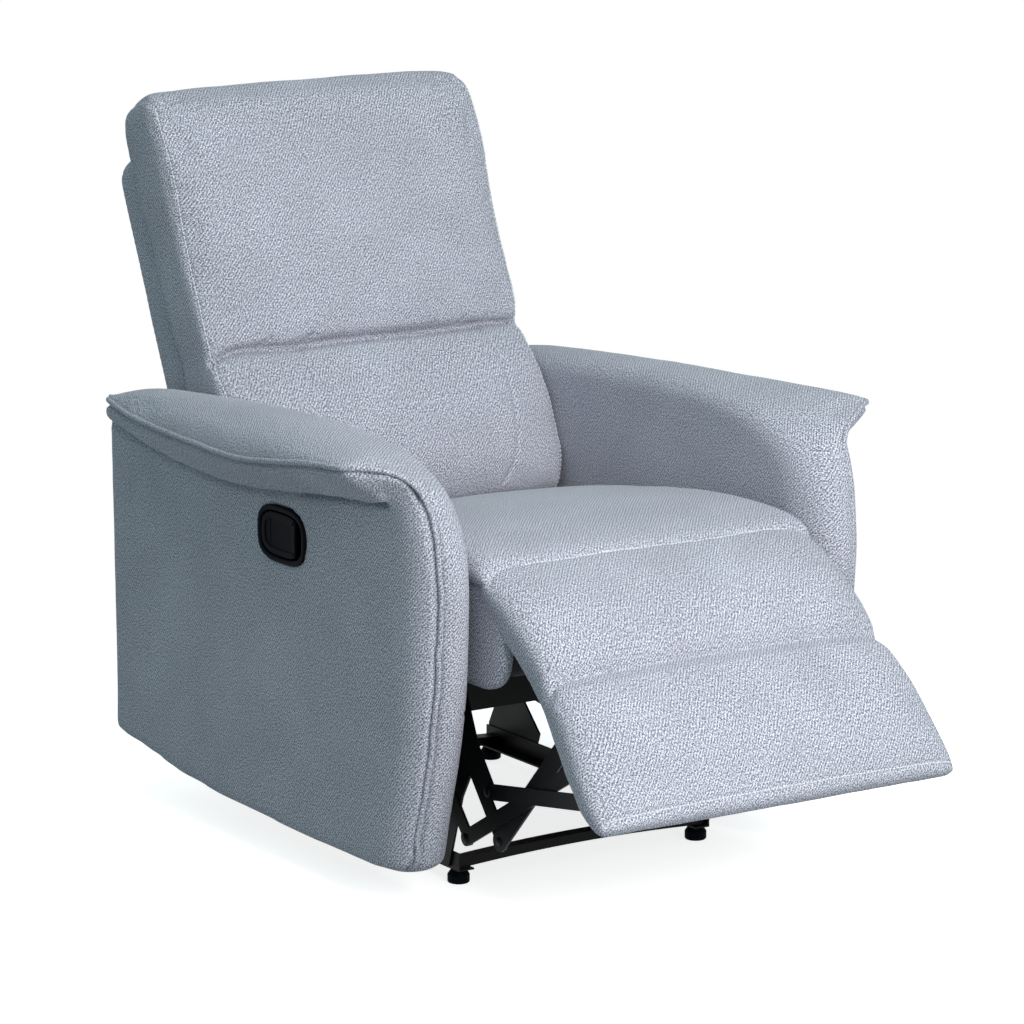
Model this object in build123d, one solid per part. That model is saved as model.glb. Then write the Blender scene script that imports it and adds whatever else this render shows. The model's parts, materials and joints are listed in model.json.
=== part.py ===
"""Recliner armchair: steel base and linkage, seat box, footrest, reclining back, flared arms.

Millimetres. +Z up, floor at z = 0. The chair faces -Y; the sitter's left is +X.
Side-view points are written (u, z), where u is the distance forwards of the datum line.
"""
from build123d import *
import os
from math import atan2, cos, degrees, hypot, radians, sin

os.makedirs("parts", exist_ok=True)

# ---------------------------------------------------------------- driving dimensions
DATUM_Y = 53.4          # y of the datum line that u is measured from

SEAT_HALF = 262.0       # seat and back cushion half width
SIDE_SET = 4.0          # seat box side inside the cushion's edge
SIDE_T = 12.0           # seat box side board
SEAT_SIDE_OUT = SEAT_HALF - SIDE_SET
SEAT_SIDE_IN = SEAT_SIDE_OUT - SIDE_T
SEAT_FRONT_U = 436.0
SEAT_BOTTOM = 318.0
SEAT_TOP = 398.0
SEAT_CORNER_R = 50.0    # lower front corner of the seat box
WEB_T = 2.0
SEAT_CLEAR = 0.3        # upholstery to its neighbour
# seat cushion, rear to front: u and rise over the seat box
SEAT_CROWN = [(-152, 70), (-142, 89), (-110, 100), (0, 106), (120, 108), (220, 104), (290, 95), (322, 86)]
CUSHION_FRONT_U = 430.0

LINK_ROOM = 35.0        # side plate to the seat box side
PLATE_X = SEAT_SIDE_IN - LINK_ROOM      # inner face of the side plate
PLATE_T = 3.5           # linkage steel thickness
LAYER_GAP = 0.5
PIN_R = 5.0
RUN_CLEAR = 0.05        # radial running clearance of every pivot

RAIL_T = 2.5            # base angle thickness
RAIL_WIDE = 25.0
RAIL_OUT = PLATE_X
RAIL_IN = RAIL_OUT - RAIL_WIDE
GLIDE_INSET = 11.0      # foot centre inside the rail's outer face
GLIDE_X = RAIL_OUT - GLIDE_INSET        # feet, half spacing across
GLIDE_FRONT_U = 231.0
GLIDE_REAR_U = -300.0
GLIDE_R = 15.5
GLIDE_H = 20.0

HINGE = (450.0, 391.0)  # footrest hinge (u, z)
FOOT_OVER = 6.0         # footrest pad past the cushion's edge
FOOT_HALF = SEAT_HALF + FOOT_OVER       # footrest pad half width
BOARD_SET = 18.0        # footrest board inside the pad's edge
LIP_WIDE = 22.0         # bracket lip under the board
PAD_T = 42.0            # footrest pad thickness at the seams
HEEL_ANGLE = 107.0      # direction of the pad's face towards the seat, from the hinge
BOARD_T = 12.0
SEAM_S = (391.0, 480.0)
SEAM_C = (568.0, 363.5)
EDGE_B = (710.0, 192.0)

PIVOT_A = (276.0, 204.0)
PIVOT_A2 = (165.0, 225.0)
PIVOT_A3 = (200.0, 351.0)
OPEN_F1 = (540.0, 280.0)
OPEN_F1B = (574.0, 246.0)
OPEN_F2 = (600.0, 200.0)

BACK_ORIGIN = (-285.0, 390.0)
BACK_LEAN = 24.0        # degrees from upright in the stored pose
CUSHION_BACK = -20.0    # rear face of both back cushions (t)
BACK_PIVOT = (-44.0, 0.0)   # (t, s): behind the cushion plane, on the posts
POST_TOP = 582.0        # top of the back posts (s)
SHELL_OVER = 16.0       # outer back above the posts
SHELL_T = 16.5
SHELL_R = 46.0          # its rounded top corners
POST_SET = 6.0          # posts inside the cushion's edge
POST_WIDE = 40.0
POST_OUT = SEAT_HALF - POST_SET
POST_IN = POST_OUT - POST_WIDE

ARM_GAP = 10.0          # cushions to the arms
ARM_WIDE = 90.0
ARM_IN = SEAT_HALF + ARM_GAP
ARM_OUT = ARM_IN + ARM_WIDE
COVER_IN_T = 13.0       # padded cover on the sitter's side
COVER_OUT_T = 12.0      # and on the outside
ARM_CORE_IN = ARM_IN + COVER_IN_T
ARM_CORE_OUT = ARM_OUT - COVER_OUT_T
ARM_BOARD = 12.0
ARM_TOP = 549.0         # top of the arm boards in front
FLARE_TALL = 100.0      # height of the padded top over the boards

LEVER_U = 44.0
LEVER_Z = 474.0
LEVER_LEN = 122.0
LEVER_TALL = 80.0
LUG_ROOM = 19.0         # oval's edge to the paddle's lugs, up and down
LUG_Z = LEVER_TALL / 2 - LUG_ROOM       # half spacing of the two lugs
LUG_T = 4.0
LUG_R = 4.5
LEVER_PIN_R = 2.5
DISH_WALL = 3.0


# ---------------------------------------------------------------- helpers
def yz(point):
    """Side-view (u, z) to sketch coordinates on the YZ plane."""
    return (DATUM_Y - point[0], point[1])


def slab(points, x0, x1):
    """Side-view outline carried across from x0 to x1."""
    face = make_face(Polyline(*[yz(p) for p in points], close=True))
    return extrude(Plane.YZ.offset(x0) * face, amount=x1 - x0)


def disc(centre, radius, x0, x1):
    """Round bar along X at a side-view point."""
    y, z = yz(centre)
    return extrude(Plane.YZ.offset(x0) * (Pos(y, z) * Circle(radius)), amount=x1 - x0)


def block(x0, x1, u0, u1, z0, z1):
    """Rectangular block between opposite corners."""
    y0, y1 = DATUM_Y - u1, DATUM_Y - u0
    return Pos((x0 + x1) / 2, (y0 + y1) / 2, (z0 + z1) / 2) * Box(x1 - x0, y1 - y0, z1 - z0)


def link(p, q, half, x0, x1, holes=(), pins=()):
    """Flat bar with round ends from p to q; holes and pins are (point, x_start, x_end)."""
    (y0, z0), (y1, z1) = yz(p), yz(q)
    length = hypot(y1 - y0, z1 - z0)
    turn = degrees(atan2(z1 - z0, y1 - y0))
    outline = Pos((y0 + y1) / 2, (z0 + z1) / 2) * Rot(0, 0, turn) * SlotCenterToCenter(length, 2 * half)
    bar = extrude(Plane.YZ.offset(x0) * outline, amount=x1 - x0)
    for point in holes:
        bar -= disc(point, PIN_R + RUN_CLEAR, x0 - 1, x1 + 1)
    for point, a, b in pins:
        bar += disc(point, PIN_R, a, b)
    return bar


def layer(index):
    """Inner and outer x of a linkage layer; 0 is the side plate."""
    start = PLATE_X + index * (PLATE_T + LAYER_GAP)
    return start, start + PLATE_T


def shifted(point, from_point, to_point):
    """Point moved by the vector between two others."""
    return (point[0] + to_point[0] - from_point[0], point[1] + to_point[1] - from_point[1])


def unit(p, q):
    """Unit vector from p to q."""
    length = hypot(q[0] - p[0], q[1] - p[1])
    return ((q[0] - p[0]) / length, (q[1] - p[1]) / length)


def along(p, direction, distance, normal=(0, 0), offset=0.0):
    """Point at a distance along a direction and an offset along a normal."""
    return (p[0] + direction[0] * distance + normal[0] * offset,
            p[1] + direction[1] * distance + normal[1] * offset)


def back_uz(s, t):
    """Back coordinates (s up the back, t towards the sitter) to side-view (u, z)."""
    a = radians(BACK_LEAN)
    return (BACK_ORIGIN[0] - s * sin(a) + t * cos(a), BACK_ORIGIN[1] + s * cos(a) + t * sin(a))


def back_plane(t):
    """Plane facing the sitter, t in front of the back's datum; local axes are x and s."""
    a = radians(BACK_LEAN)
    u, z = back_uz(0, t)
    return Plane(origin=(0, DATUM_Y - u, z), x_dir=(1, 0, 0), z_dir=(0, -cos(a), sin(a)))


def save(name, shape):
    """Write one named node; one for each side if the name ends in an underscore."""
    if name.endswith("_"):
        export_step(shape, f"parts/{name}left.step")
        export_step(mirror(shape, about=Plane.YZ), f"parts/{name}right.step")
    else:
        export_step(shape, f"parts/{name}.step")


E1 = unit(SEAM_S, SEAM_C)           # down the upper pad
N1 = (-E1[1], E1[0])                # out of the upper pad
E2 = unit(SEAM_C, EDGE_B)           # down the lower pad
N2 = (-E2[1], E2[0])


def fold(offset):
    """Point under the fold between the two pads, at an offset below both surfaces."""
    k = offset / (1 + N1[0] * N2[0] + N1[1] * N2[1])
    return (SEAM_C[0] - (N1[0] + N2[0]) * k, SEAM_C[1] - (N1[1] + N2[1]) * k)


# ---------------------------------------------------------------- base
def base_rail():
    """Angle rail along one side with the two glide holes."""
    u0, u1 = GLIDE_REAR_U - 25, GLIDE_FRONT_U + 18
    rail = block(RAIL_IN, RAIL_OUT, u0, u1, GLIDE_H, GLIDE_H + RAIL_T)
    rail += block(RAIL_OUT - RAIL_T, RAIL_OUT, u0, u1, GLIDE_H, GLIDE_H + 26)
    for u in (GLIDE_FRONT_U, GLIDE_REAR_U):
        rail -= Pos(GLIDE_X, DATUM_Y - u, GLIDE_H) * Cylinder(4.0, 20)
    return rail


def glide(u):
    """Round plastic foot with a stem through the rail and a push-on collar."""
    foot = Cylinder(GLIDE_R, 12, align=(Align.CENTER, Align.CENTER, Align.MIN))
    foot = fillet(foot.edges().sort_by(Axis.Z)[0], 3)
    foot += Pos(0, 0, 12) * Cone(GLIDE_R, 10, GLIDE_H - 12, align=(Align.CENTER, Align.CENTER, Align.MIN))
    foot += Pos(0, 0, GLIDE_H) * Cylinder(4.0, RAIL_T, align=(Align.CENTER, Align.CENTER, Align.MIN))
    return Pos(GLIDE_X, DATUM_Y - u, 0) * foot


def cross_rail(u):
    """Slightly arched bar between the base rails, resting on their flanges."""
    half, low, high, rise = RAIL_OUT - RAIL_T, GLIDE_H + RAIL_T, GLIDE_H + RAIL_T + 13, 7.0
    outline = Polyline((-half, low), (-half, high))
    outline += ThreePointArc((-half, high), (0, high + rise), (half, high))
    outline += Polyline((half, high), (half, low))
    outline += ThreePointArc((half, low), (0, low + rise), (-half, low))
    bar = extrude(Plane.XZ * make_face(outline), amount=11, both=True)
    for x in (-GLIDE_X, GLIDE_X):
        bar -= Pos(x, 0, low) * Cylinder(8, 12)
    return Pos(0, DATUM_Y - u, 0) * bar


def side_plate():
    """Upright plate carrying the three driven pivots and the seat flange."""
    x0, x1 = layer(0)
    outline = [(228, 24), (70, 24), (62, 60), (104, 372), (252, 372), (262, 300),
               (297, 218), (297, 190), (262, 130)]
    plate = slab(outline, x0, x1)
    plate += slab([(104, 368.5), (184, 368.5), (184, 372), (104, 372)], x0, SEAT_SIDE_IN)
    plate += disc(PIVOT_A, PIN_R, x0, layer(1)[1])
    for point, at in ((PIVOT_A2, 2), (PIVOT_A3, 3)):
        plate += disc(point, 9.0, x0, layer(at)[0] - RUN_CLEAR)
        plate += disc(point, PIN_R, x0, layer(at)[1])
    return plate


def rear_plate():
    """Upright plate from the base rail to the back pivot."""
    x0, x1 = layer(0)
    pivot = back_uz(BACK_PIVOT[1], BACK_PIVOT[0])
    outline = [(-200, 24), (-322, 24), (-322, 50), (-290, 110), (-284, 310), (-244, 310), (-236, 110), (-186, 60)]
    plate = slab(outline, x0, x1) + link(pivot, (-264, 300), 17, x0, x1)
    plate += disc(pivot, 6.0, x0, POST_OUT)
    return plate


def linkage_rail():
    """Angle rail that ties the two side plates together."""
    x0 = PLATE_X
    rail = slab([(252, 246), (250, 290), (246, 290), (248, 250), (218, 250), (218, 246)], -x0, x0)
    return rail


# ---------------------------------------------------------------- linkage
def links():
    """The six bars of one side, from the side plate outwards."""
    q = shifted(OPEN_F1, HINGE, PIVOT_A)
    q2 = shifted(OPEN_F1B, HINGE, PIVOT_A2)
    q3 = shifted(OPEN_F2, HINGE, PIVOT_A3)
    n1, n2, n3, n4 = layer(1), layer(2), layer(3), layer(4)
    return {
        "link_drive_": link(PIVOT_A, q, 13, *n1, holes=[PIVOT_A], pins=[(q, n1[0], n2[1])]),
        "link_lift_": link(q, OPEN_F1, 14.5, *n2, holes=[q, OPEN_F1]),
        "link_guide_": link(PIVOT_A2, q2, 11, *n2, holes=[PIVOT_A2], pins=[(q2, n2[0], n3[1])]),
        "link_reach_": link(q2, OPEN_F1B, 11, *n3, holes=[q2, OPEN_F1B]),
        "link_swing_": link(PIVOT_A3, q3, 11, *n3, holes=[PIVOT_A3], pins=[(q3, n3[0], n4[1])]),
        "link_push_": link(q3, OPEN_F2, 11, *n4, holes=[q3, OPEN_F2]),
    }


def footrest_bracket():
    """Plate under the footrest board with the three open pivots."""
    x0, x1 = layer(5)
    under = PAD_T + BOARD_T + SEAT_CLEAR
    corner = fold(under)
    outline = [along(corner, E1, -48), corner, along(corner, E2, 150), (618, 196), (606, 184), (590, 188),
               (560, 236), (526, 270), (508, 300)]
    plate = slab(outline, x0, x1)
    lip = [along(corner, E2, 6), along(corner, E2, 150), along(corner, E2, 150, N2, -3), along(corner, E2, 6, N2, -3)]
    plate += slab(lip, x0, x0 + LIP_WIDE)
    for point, at in ((OPEN_F1, 2), (OPEN_F1B, 3), (OPEN_F2, 4)):
        plate += disc(point, PIN_R, layer(at)[0], x1)
    return plate


# ---------------------------------------------------------------- seat box and footrest
def seat_side():
    """Side board of the seat box with a rounded front lower corner and arm spacers."""
    r = SEAT_CORNER_R
    arc = [(SEAT_FRONT_U - r + r * cos(radians(a)), SEAT_BOTTOM + r + r * sin(radians(a)))
           for a in range(-90, 1, 15)]
    outline = [(-205, SEAT_BOTTOM)] + arc + [(SEAT_FRONT_U, SEAT_TOP), (-165, SEAT_TOP), (-205, SEAT_TOP - 18)]
    board = slab(outline, SEAT_SIDE_IN, SEAT_SIDE_OUT)
    for u in (-130, 110, 300):
        board += block(SEAT_SIDE_OUT, ARM_IN - SEAT_CLEAR, u - 20, u + 20, 340, 385)
    return board


def seat_webbing():
    """Woven straps over the front and rear rails, joined where they cross."""
    strap = None
    half, apart = SEAT_SIDE_IN - 6, (SEAT_SIDE_IN - 62) / 2
    for x in (-2 * apart, -apart, 0, apart, 2 * apart):
        piece = block(x - 28, x + 28, -186, SEAT_FRONT_U - 2, SEAT_TOP, SEAT_TOP + WEB_T)
        strap = piece if strap is None else strap + piece
    for u in (-90, 20, 130, 240, 350):
        strap += block(-half, half, u - 28, u + 28, SEAT_TOP, SEAT_TOP + WEB_T)
    return strap


def seat_cushion():
    """Crowned seat cushion, cut back in front where the footrest pad folds."""
    base = SEAT_TOP + WEB_T + SEAT_CLEAR
    crown = [(u, SEAT_TOP + rise) for u, rise in SEAT_CROWN]
    outline = [(crown[0][0], base)] + crown + [(CUSHION_FRONT_U, base)]
    return slab(outline, -SEAT_HALF, SEAT_HALF)


def pad_heel():
    """Lower and upper end of the footrest pad's face towards the seat."""
    ray = (cos(radians(HEEL_ANGLE)), sin(radians(HEEL_ANGLE)))
    return along(HINGE, ray, 12), along(HINGE, ray, 65.7)


def chaise_gusset():
    """Soft fold between seat and footrest: it changes shape as the footrest turns."""
    heel, top = pad_heel()
    low = (CUSHION_FRONT_U, SEAT_TOP + WEB_T + SEAT_CLEAR)
    high = (SEAT_CROWN[-1][0], SEAT_TOP + SEAT_CROWN[-1][1])
    run = unit(low, high)
    out = (run[1], -run[0])
    rear = [along(low, run, 4, out, SEAT_CLEAR), along(high, run, -1, out, SEAT_CLEAR)]
    face = [along(top, (-1, 0), SEAT_CLEAR), along(heel, (-1, 0), SEAT_CLEAR)]
    return slab(rear + [SEAM_S] + face, -FOOT_HALF + 2, FOOT_HALF - 2)


def footrest_pads():
    """Upper and lower pads, parted at the stitched channel."""
    corner = fold(PAD_T)
    heel, top = pad_heel()
    mid = along(top, E1, 82, N1, 17)
    upper = [heel, top, along(top, E1, 30, N1, 11), mid, along(top, E1, 130, N1, 12), along(SEAM_C, E1, -5, N1, 2),
             along(SEAM_C, E1, -1), along(corner, E1, -SEAT_CLEAR), along(HINGE, E1, 5)]
    lower = [along(SEAM_C, E2, 1), along(SEAM_C, E2, 6, N2, 2), along(SEAM_C, E2, 50, N2, 17),
             along(SEAM_C, E2, 112, N2, 20), along(SEAM_C, E2, 176, N2, 13), EDGE_B, along(EDGE_B, E2, 3, N2, -14),
             along(EDGE_B, E2, -6, N2, -PAD_T), along(corner, E2, SEAT_CLEAR)]
    return (slab(upper, -FOOT_HALF, FOOT_HALF), slab(lower, -FOOT_HALF, FOOT_HALF))


def footrest_board():
    """Bent board behind both pads."""
    top, bottom = PAD_T + SEAT_CLEAR, PAD_T + SEAT_CLEAR + BOARD_T
    a, b = fold(top), fold(bottom)
    outline = [along(a, E1, -86), a, along(a, E2, 190), along(b, E2, 190), b, along(b, E1, -86)]
    return slab(outline, -FOOT_HALF + BOARD_SET, FOOT_HALF - BOARD_SET)


# ---------------------------------------------------------------- back
def back_post():
    """Wooden upright with the pivot bore."""
    front = CUSHION_BACK - SEAT_CLEAR
    outline = [back_uz(-30, -65), back_uz(POST_TOP, -65), back_uz(POST_TOP, front), back_uz(-30, front)]
    post = slab(outline, POST_IN, POST_OUT)
    return post - disc(back_uz(BACK_PIVOT[1], BACK_PIVOT[0]), 6.0 + RUN_CLEAR, POST_IN - 1, POST_OUT + 1)


def back_rail(s0, s1):
    """Cross rail between the posts."""
    return slab([back_uz(s0, -62), back_uz(s1, -62), back_uz(s1, -28), back_uz(s0, -28)], -POST_IN, POST_IN)


def back_shell():
    """Upholstered outer back: a padded rear panel with rounded top corners."""
    s0, s1 = -2.0, POST_TOP + SHELL_OVER
    outer = Pos(0, (s0 + s1) / 2) * RectangleRounded(2 * SEAT_HALF, s1 - s0, SHELL_R)
    outer += Pos(0, s0 + SHELL_R) * Rectangle(2 * SEAT_HALF, 2 * SHELL_R)
    return extrude(back_plane(-82) * outer, amount=SHELL_T)


def back_cushion(outline, half):
    """Cushion with the side profile given in (s, t)."""
    return slab([back_uz(s, t) for s, t in outline], -half, half)


HEAD = [(262, CUSHION_BACK), (262, 84), (268, 90), (300, 99), (370, 108), (460, 114), (540, 113), (600, 106), (632, 92),
        (648, 66), (652, 30), (646, -8), (636, CUSHION_BACK)]
LUMBAR = [(-4, CUSHION_BACK), (-4, 112), (14, 128), (60, 139), (118, 142), (170, 136), (215, 118), (248, 94),
          (261, 82), (261, CUSHION_BACK)]


def rear_panel():
    """Wrapped panel closing the chair below the back."""
    return block(-ARM_IN + SEAT_CLEAR, ARM_IN - SEAT_CLEAR, -446, -430, 96, 330)


# ---------------------------------------------------------------- arms
FRONT_LINE = [(308, 54), (341, 69), (374, 226), (394, 362), (399, 474), (392, 512), (380, ARM_TOP)]
LOWER_LINE = [(-448, 97), (-350, 83), (-154, 60), (26, 55), (199, 57)]
# stations of the flared top, front to rear: u, drop, fall of the sitter's side, flare past the arm's outside
FLARE = [(402, 0, 58, 76), (378, 0, 33, 76), (330, 0, 12, 76), (237, 4, 0, 75), (105, 17, 0, 69),
         (-157, 35, 0, 56), (-442, 64, 0, 42)]
TOP_LINE = [(u, ARM_TOP - drop) for u, drop, fall, flare in FLARE[2:]]   # the boards under the flared top


def arm_core():
    """Boards, front post and top board of one arm."""
    front = [(u - 20, z + (14 if z < 60 else 0)) for u, z in FRONT_LINE]
    outline = [(-440, 104), (-154, 70), (199, 66)] + front + TOP_LINE
    core = slab(outline, ARM_CORE_IN, ARM_CORE_OUT)
    hollow = [(-460, 50), (260, 50), (300, 90), (322, 226), (334, 362), (334, 500), (326, 526), (-460, 468)]
    return core - slab(hollow, ARM_CORE_IN + ARM_BOARD, ARM_CORE_OUT - ARM_BOARD)


def arm_outer_pad():
    """Thin padded cover on the outside, cut for the lever housing."""
    front = [(u - 19, z) for u, z in FRONT_LINE]
    outline = LOWER_LINE + front + TOP_LINE
    return slab(outline, ARM_CORE_OUT + SEAT_CLEAR, ARM_OUT)


def arm_inner_pad():
    """Thin padded cover on the sitter's side."""
    front = [(u - 19, z) for u, z in FRONT_LINE]
    outline = LOWER_LINE + front + TOP_LINE
    return slab(outline, ARM_IN, ARM_CORE_IN - SEAT_CLEAR)


def arm_front_pad():
    """Curved pad down the front of the arm."""
    inner = [(u - 19 + SEAT_CLEAR, z) for u, z in FRONT_LINE]
    return slab(FRONT_LINE + inner[::-1], ARM_IN, ARM_OUT)


def arm_section(y, drop, fall, flare):
    """Closed cross-section of the flared arm top; fall lowers the sitter's side at the rolled front."""
    low = ARM_TOP + SEAT_CLEAR - drop
    top = ARM_TOP + FLARE_TALL - drop
    tip = ARM_OUT + flare
    points = [(ARM_IN, low), (ARM_IN - 1, top - 43 - 0.7 * fall), (ARM_IN + 6, top - 21 - fall),
              (ARM_IN + 28, top - 8 - fall), (ARM_OUT - 27, top - 1 - 0.8 * fall), (ARM_OUT + 10, top - 0.5 * fall),
              (ARM_OUT + 42, top - 6 - 0.2 * fall), (tip - 12, top - 17), (tip, top - 32), (tip - 4, top - 46), (tip - 32, top - 64),
              (ARM_OUT + 4, top - 83), (ARM_OUT - 2, low)]
    return Plane(origin=(0, y, 0), x_dir=(1, 0, 0), z_dir=(0, -1, 0)) * make_face(Polyline(*points, close=True))


def arm_top_pad():
    """Flared arm top, falling and narrowing to the rear, trimmed on a slant in front."""
    pad = loft([arm_section(DATUM_Y - u, drop, fall, flare) for u, drop, fall, flare in FLARE], ruled=True)
    corner = make_face(Polyline((ARM_OUT - 32, DATUM_Y - 410), (ARM_OUT, DATUM_Y - 380), (ARM_OUT + 98, DATUM_Y - 300),
                                (ARM_OUT + 98, DATUM_Y - 420), close=True))
    return pad - extrude(Plane.XY.offset(400) * corner, amount=300)


# ---------------------------------------------------------------- release lever (sitter's right)
def oval(length, tall):
    """Oval on the arm's outer face, centred on the lever."""
    return Pos(DATUM_Y - LEVER_U, LEVER_Z) * Ellipse(length / 2, tall / 2)


def lever_housing():
    """Oval dish with a finger recess, let into the arm cover."""
    face = -ARM_OUT
    rim = extrude(Plane.YZ.offset(face) * oval(LEVER_LEN, LEVER_TALL), amount=-7)
    cup = extrude(Plane.YZ.offset(face) * oval(LEVER_LEN - 12, LEVER_TALL - 12), amount=11)
    hollow = extrude(Plane.YZ.offset(face + 9) * oval(LEVER_LEN - 12 - 2 * DISH_WALL, LEVER_TALL - 12 - 2 * DISH_WALL), amount=-30)
    pin = lever_axis()
    housing = rim + cup - hollow
    for z in (LEVER_Z - LUG_Z, LEVER_Z + LUG_Z):
        housing += Pos(pin[0], pin[1], z) * Cylinder(LUG_R, LUG_T)
        housing += Pos(pin[0] + 5.5, pin[1], z) * Box(11, 2 * LUG_R, LUG_T)
    return housing - Pos(pin[0], pin[1], LEVER_Z) * Cylinder(LEVER_PIN_R, 2 * LUG_Z + LUG_T)


def lever_axis():
    """x and y of the paddle's upright pin."""
    return (-ARM_OUT - 1.0, DATUM_Y - LEVER_U + 32)


def lever_pin():
    """Steel pin of the paddle."""
    x, y = lever_axis()
    return Pos(x, y, LEVER_Z) * Cylinder(LEVER_PIN_R, 2 * LUG_Z + LUG_T)


def lever_paddle():
    """Oval paddle hinged at the rear, cut away in front for the fingers."""
    x, y = lever_axis()
    plate = extrude(Plane.YZ.offset(-ARM_OUT - 2.5) * oval(LEVER_LEN - 22, LEVER_TALL - 22), amount=-4)
    plate -= Pos(x, DATUM_Y - LEVER_U - LEVER_LEN / 2, LEVER_Z) * Box(30, 46, LEVER_TALL + 10)
    for side in (-1, 1):
        plate -= Pos(x, y, LEVER_Z + side * (LUG_Z + 6)) * Box(30, 16, 17)
    paddle = plate + Pos(x, y, LEVER_Z) * Cylinder(LUG_R, 2 * LUG_Z - LUG_T - 1)
    return paddle - Pos(x, y, LEVER_Z) * Cylinder(LEVER_PIN_R + RUN_CLEAR, LEVER_TALL)


# ---------------------------------------------------------------- build every node
if __name__ == "__main__":
    save("base_rail_", base_rail())
    save("glide_front_", glide(GLIDE_FRONT_U))
    save("glide_rear_", glide(GLIDE_REAR_U))
    save("cross_rail_front", cross_rail(GLIDE_FRONT_U))
    save("cross_rail_rear", cross_rail(GLIDE_REAR_U))
    save("side_plate_", side_plate())
    save("rear_plate_", rear_plate())
    save("linkage_rail", linkage_rail())
    for node, bar in links().items():
        save(node, bar)
    save("footrest_bracket_", footrest_bracket())

    save("seat_side_", seat_side())
    save("seat_rail_front", block(-SEAT_SIDE_IN, SEAT_SIDE_IN, SEAT_FRONT_U - 20, SEAT_FRONT_U, SEAT_TOP - 58, SEAT_TOP))
    save("seat_rail_rear", block(-SEAT_SIDE_IN, SEAT_SIDE_IN, -188, -168, SEAT_TOP - 53, SEAT_TOP))
    save("seat_webbing", seat_webbing())
    save("seat_cushion", seat_cushion())
    save("chaise_gusset", chaise_gusset())
    upper_pad, lower_pad = footrest_pads()
    save("footrest_pad_upper", upper_pad)
    save("footrest_pad_lower", lower_pad)
    save("footrest_board", footrest_board())

    save("back_post_", back_post())
    save("back_rail_top", back_rail(POST_TOP - 42, POST_TOP - 2))
    save("back_rail_lower", back_rail(30, 75))
    save("back_shell", back_shell())
    save("back_cushion_head", back_cushion(HEAD, SEAT_HALF))
    save("back_cushion_lumbar", back_cushion(LUMBAR, SEAT_HALF))
    save("rear_panel", rear_panel())

    dish = extrude(Plane.YZ.offset(-ARM_OUT - 1) * oval(LEVER_LEN - 11, LEVER_TALL - 11), amount=14)
    cover = arm_outer_pad()
    export_step(cover, "parts/arm_outer_pad_left.step")
    export_step(mirror(cover, about=Plane.YZ) - dish, "parts/arm_outer_pad_right.step")
    save("arm_core_", arm_core())
    save("arm_inner_pad_", arm_inner_pad())
    save("arm_front_pad_", arm_front_pad())
    save("arm_top_pad_", arm_top_pad())
    save("lever_housing", lever_housing())
    save("lever_pin", lever_pin())
    save("lever_paddle", lever_paddle())
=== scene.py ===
"""Upholstered recliner armchair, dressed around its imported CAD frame."""

import json
import logging
import math
from dataclasses import dataclass, field
from enum import Enum
from typing import Sequence

import bmesh
import bpy
import numpy as np
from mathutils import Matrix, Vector, noise
from mathutils.bvhtree import BVHTree

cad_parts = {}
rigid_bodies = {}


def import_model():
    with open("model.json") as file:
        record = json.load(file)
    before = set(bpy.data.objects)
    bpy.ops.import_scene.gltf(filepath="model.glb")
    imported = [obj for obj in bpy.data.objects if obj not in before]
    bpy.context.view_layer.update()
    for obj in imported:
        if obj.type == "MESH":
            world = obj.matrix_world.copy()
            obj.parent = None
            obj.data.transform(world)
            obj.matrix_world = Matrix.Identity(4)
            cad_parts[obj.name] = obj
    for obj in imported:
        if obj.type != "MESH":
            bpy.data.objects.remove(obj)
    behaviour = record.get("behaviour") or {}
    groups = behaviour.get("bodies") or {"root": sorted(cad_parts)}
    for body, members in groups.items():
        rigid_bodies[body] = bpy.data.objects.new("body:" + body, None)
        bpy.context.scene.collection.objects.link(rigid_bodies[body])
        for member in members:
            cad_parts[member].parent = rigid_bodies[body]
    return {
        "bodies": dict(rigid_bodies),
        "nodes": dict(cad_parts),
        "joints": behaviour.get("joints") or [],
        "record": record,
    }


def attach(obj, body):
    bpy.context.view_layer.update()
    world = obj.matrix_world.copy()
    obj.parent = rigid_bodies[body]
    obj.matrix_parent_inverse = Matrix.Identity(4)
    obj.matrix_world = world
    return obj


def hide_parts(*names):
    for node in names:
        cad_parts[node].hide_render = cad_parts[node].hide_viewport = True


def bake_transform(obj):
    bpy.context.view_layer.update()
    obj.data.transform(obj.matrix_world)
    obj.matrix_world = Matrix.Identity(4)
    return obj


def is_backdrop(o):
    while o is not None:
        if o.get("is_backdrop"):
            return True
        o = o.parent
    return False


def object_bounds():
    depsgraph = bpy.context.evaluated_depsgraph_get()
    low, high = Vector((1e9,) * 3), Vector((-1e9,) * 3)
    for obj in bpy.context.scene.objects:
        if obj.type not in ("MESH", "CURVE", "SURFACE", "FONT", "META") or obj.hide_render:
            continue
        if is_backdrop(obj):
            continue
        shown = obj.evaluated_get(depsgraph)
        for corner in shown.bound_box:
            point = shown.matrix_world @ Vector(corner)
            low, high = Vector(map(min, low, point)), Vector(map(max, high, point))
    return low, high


logging.basicConfig(level=logging.INFO, format="%(name)s: %(message)s")
LOG = logging.getLogger("recliner")

# y of the line that the forward distance u is measured from, and the foot of the leaning back, mm
DATUM_Y = 53.4
BACK_U, BACK_Z = -285.0, 390.0
BACK_LEAN = math.radians(24.0)

Point = tuple[float, float, float]
Rows = Sequence[Sequence[float]]


# ---------------------------------------------------------------- places
def chair(x: float, u: float, z: float) -> Vector:
    """Point in metres from across, forwards and up in millimetres."""
    return Vector((x / 1000, (DATUM_Y - u) / 1000, z / 1000))


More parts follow.
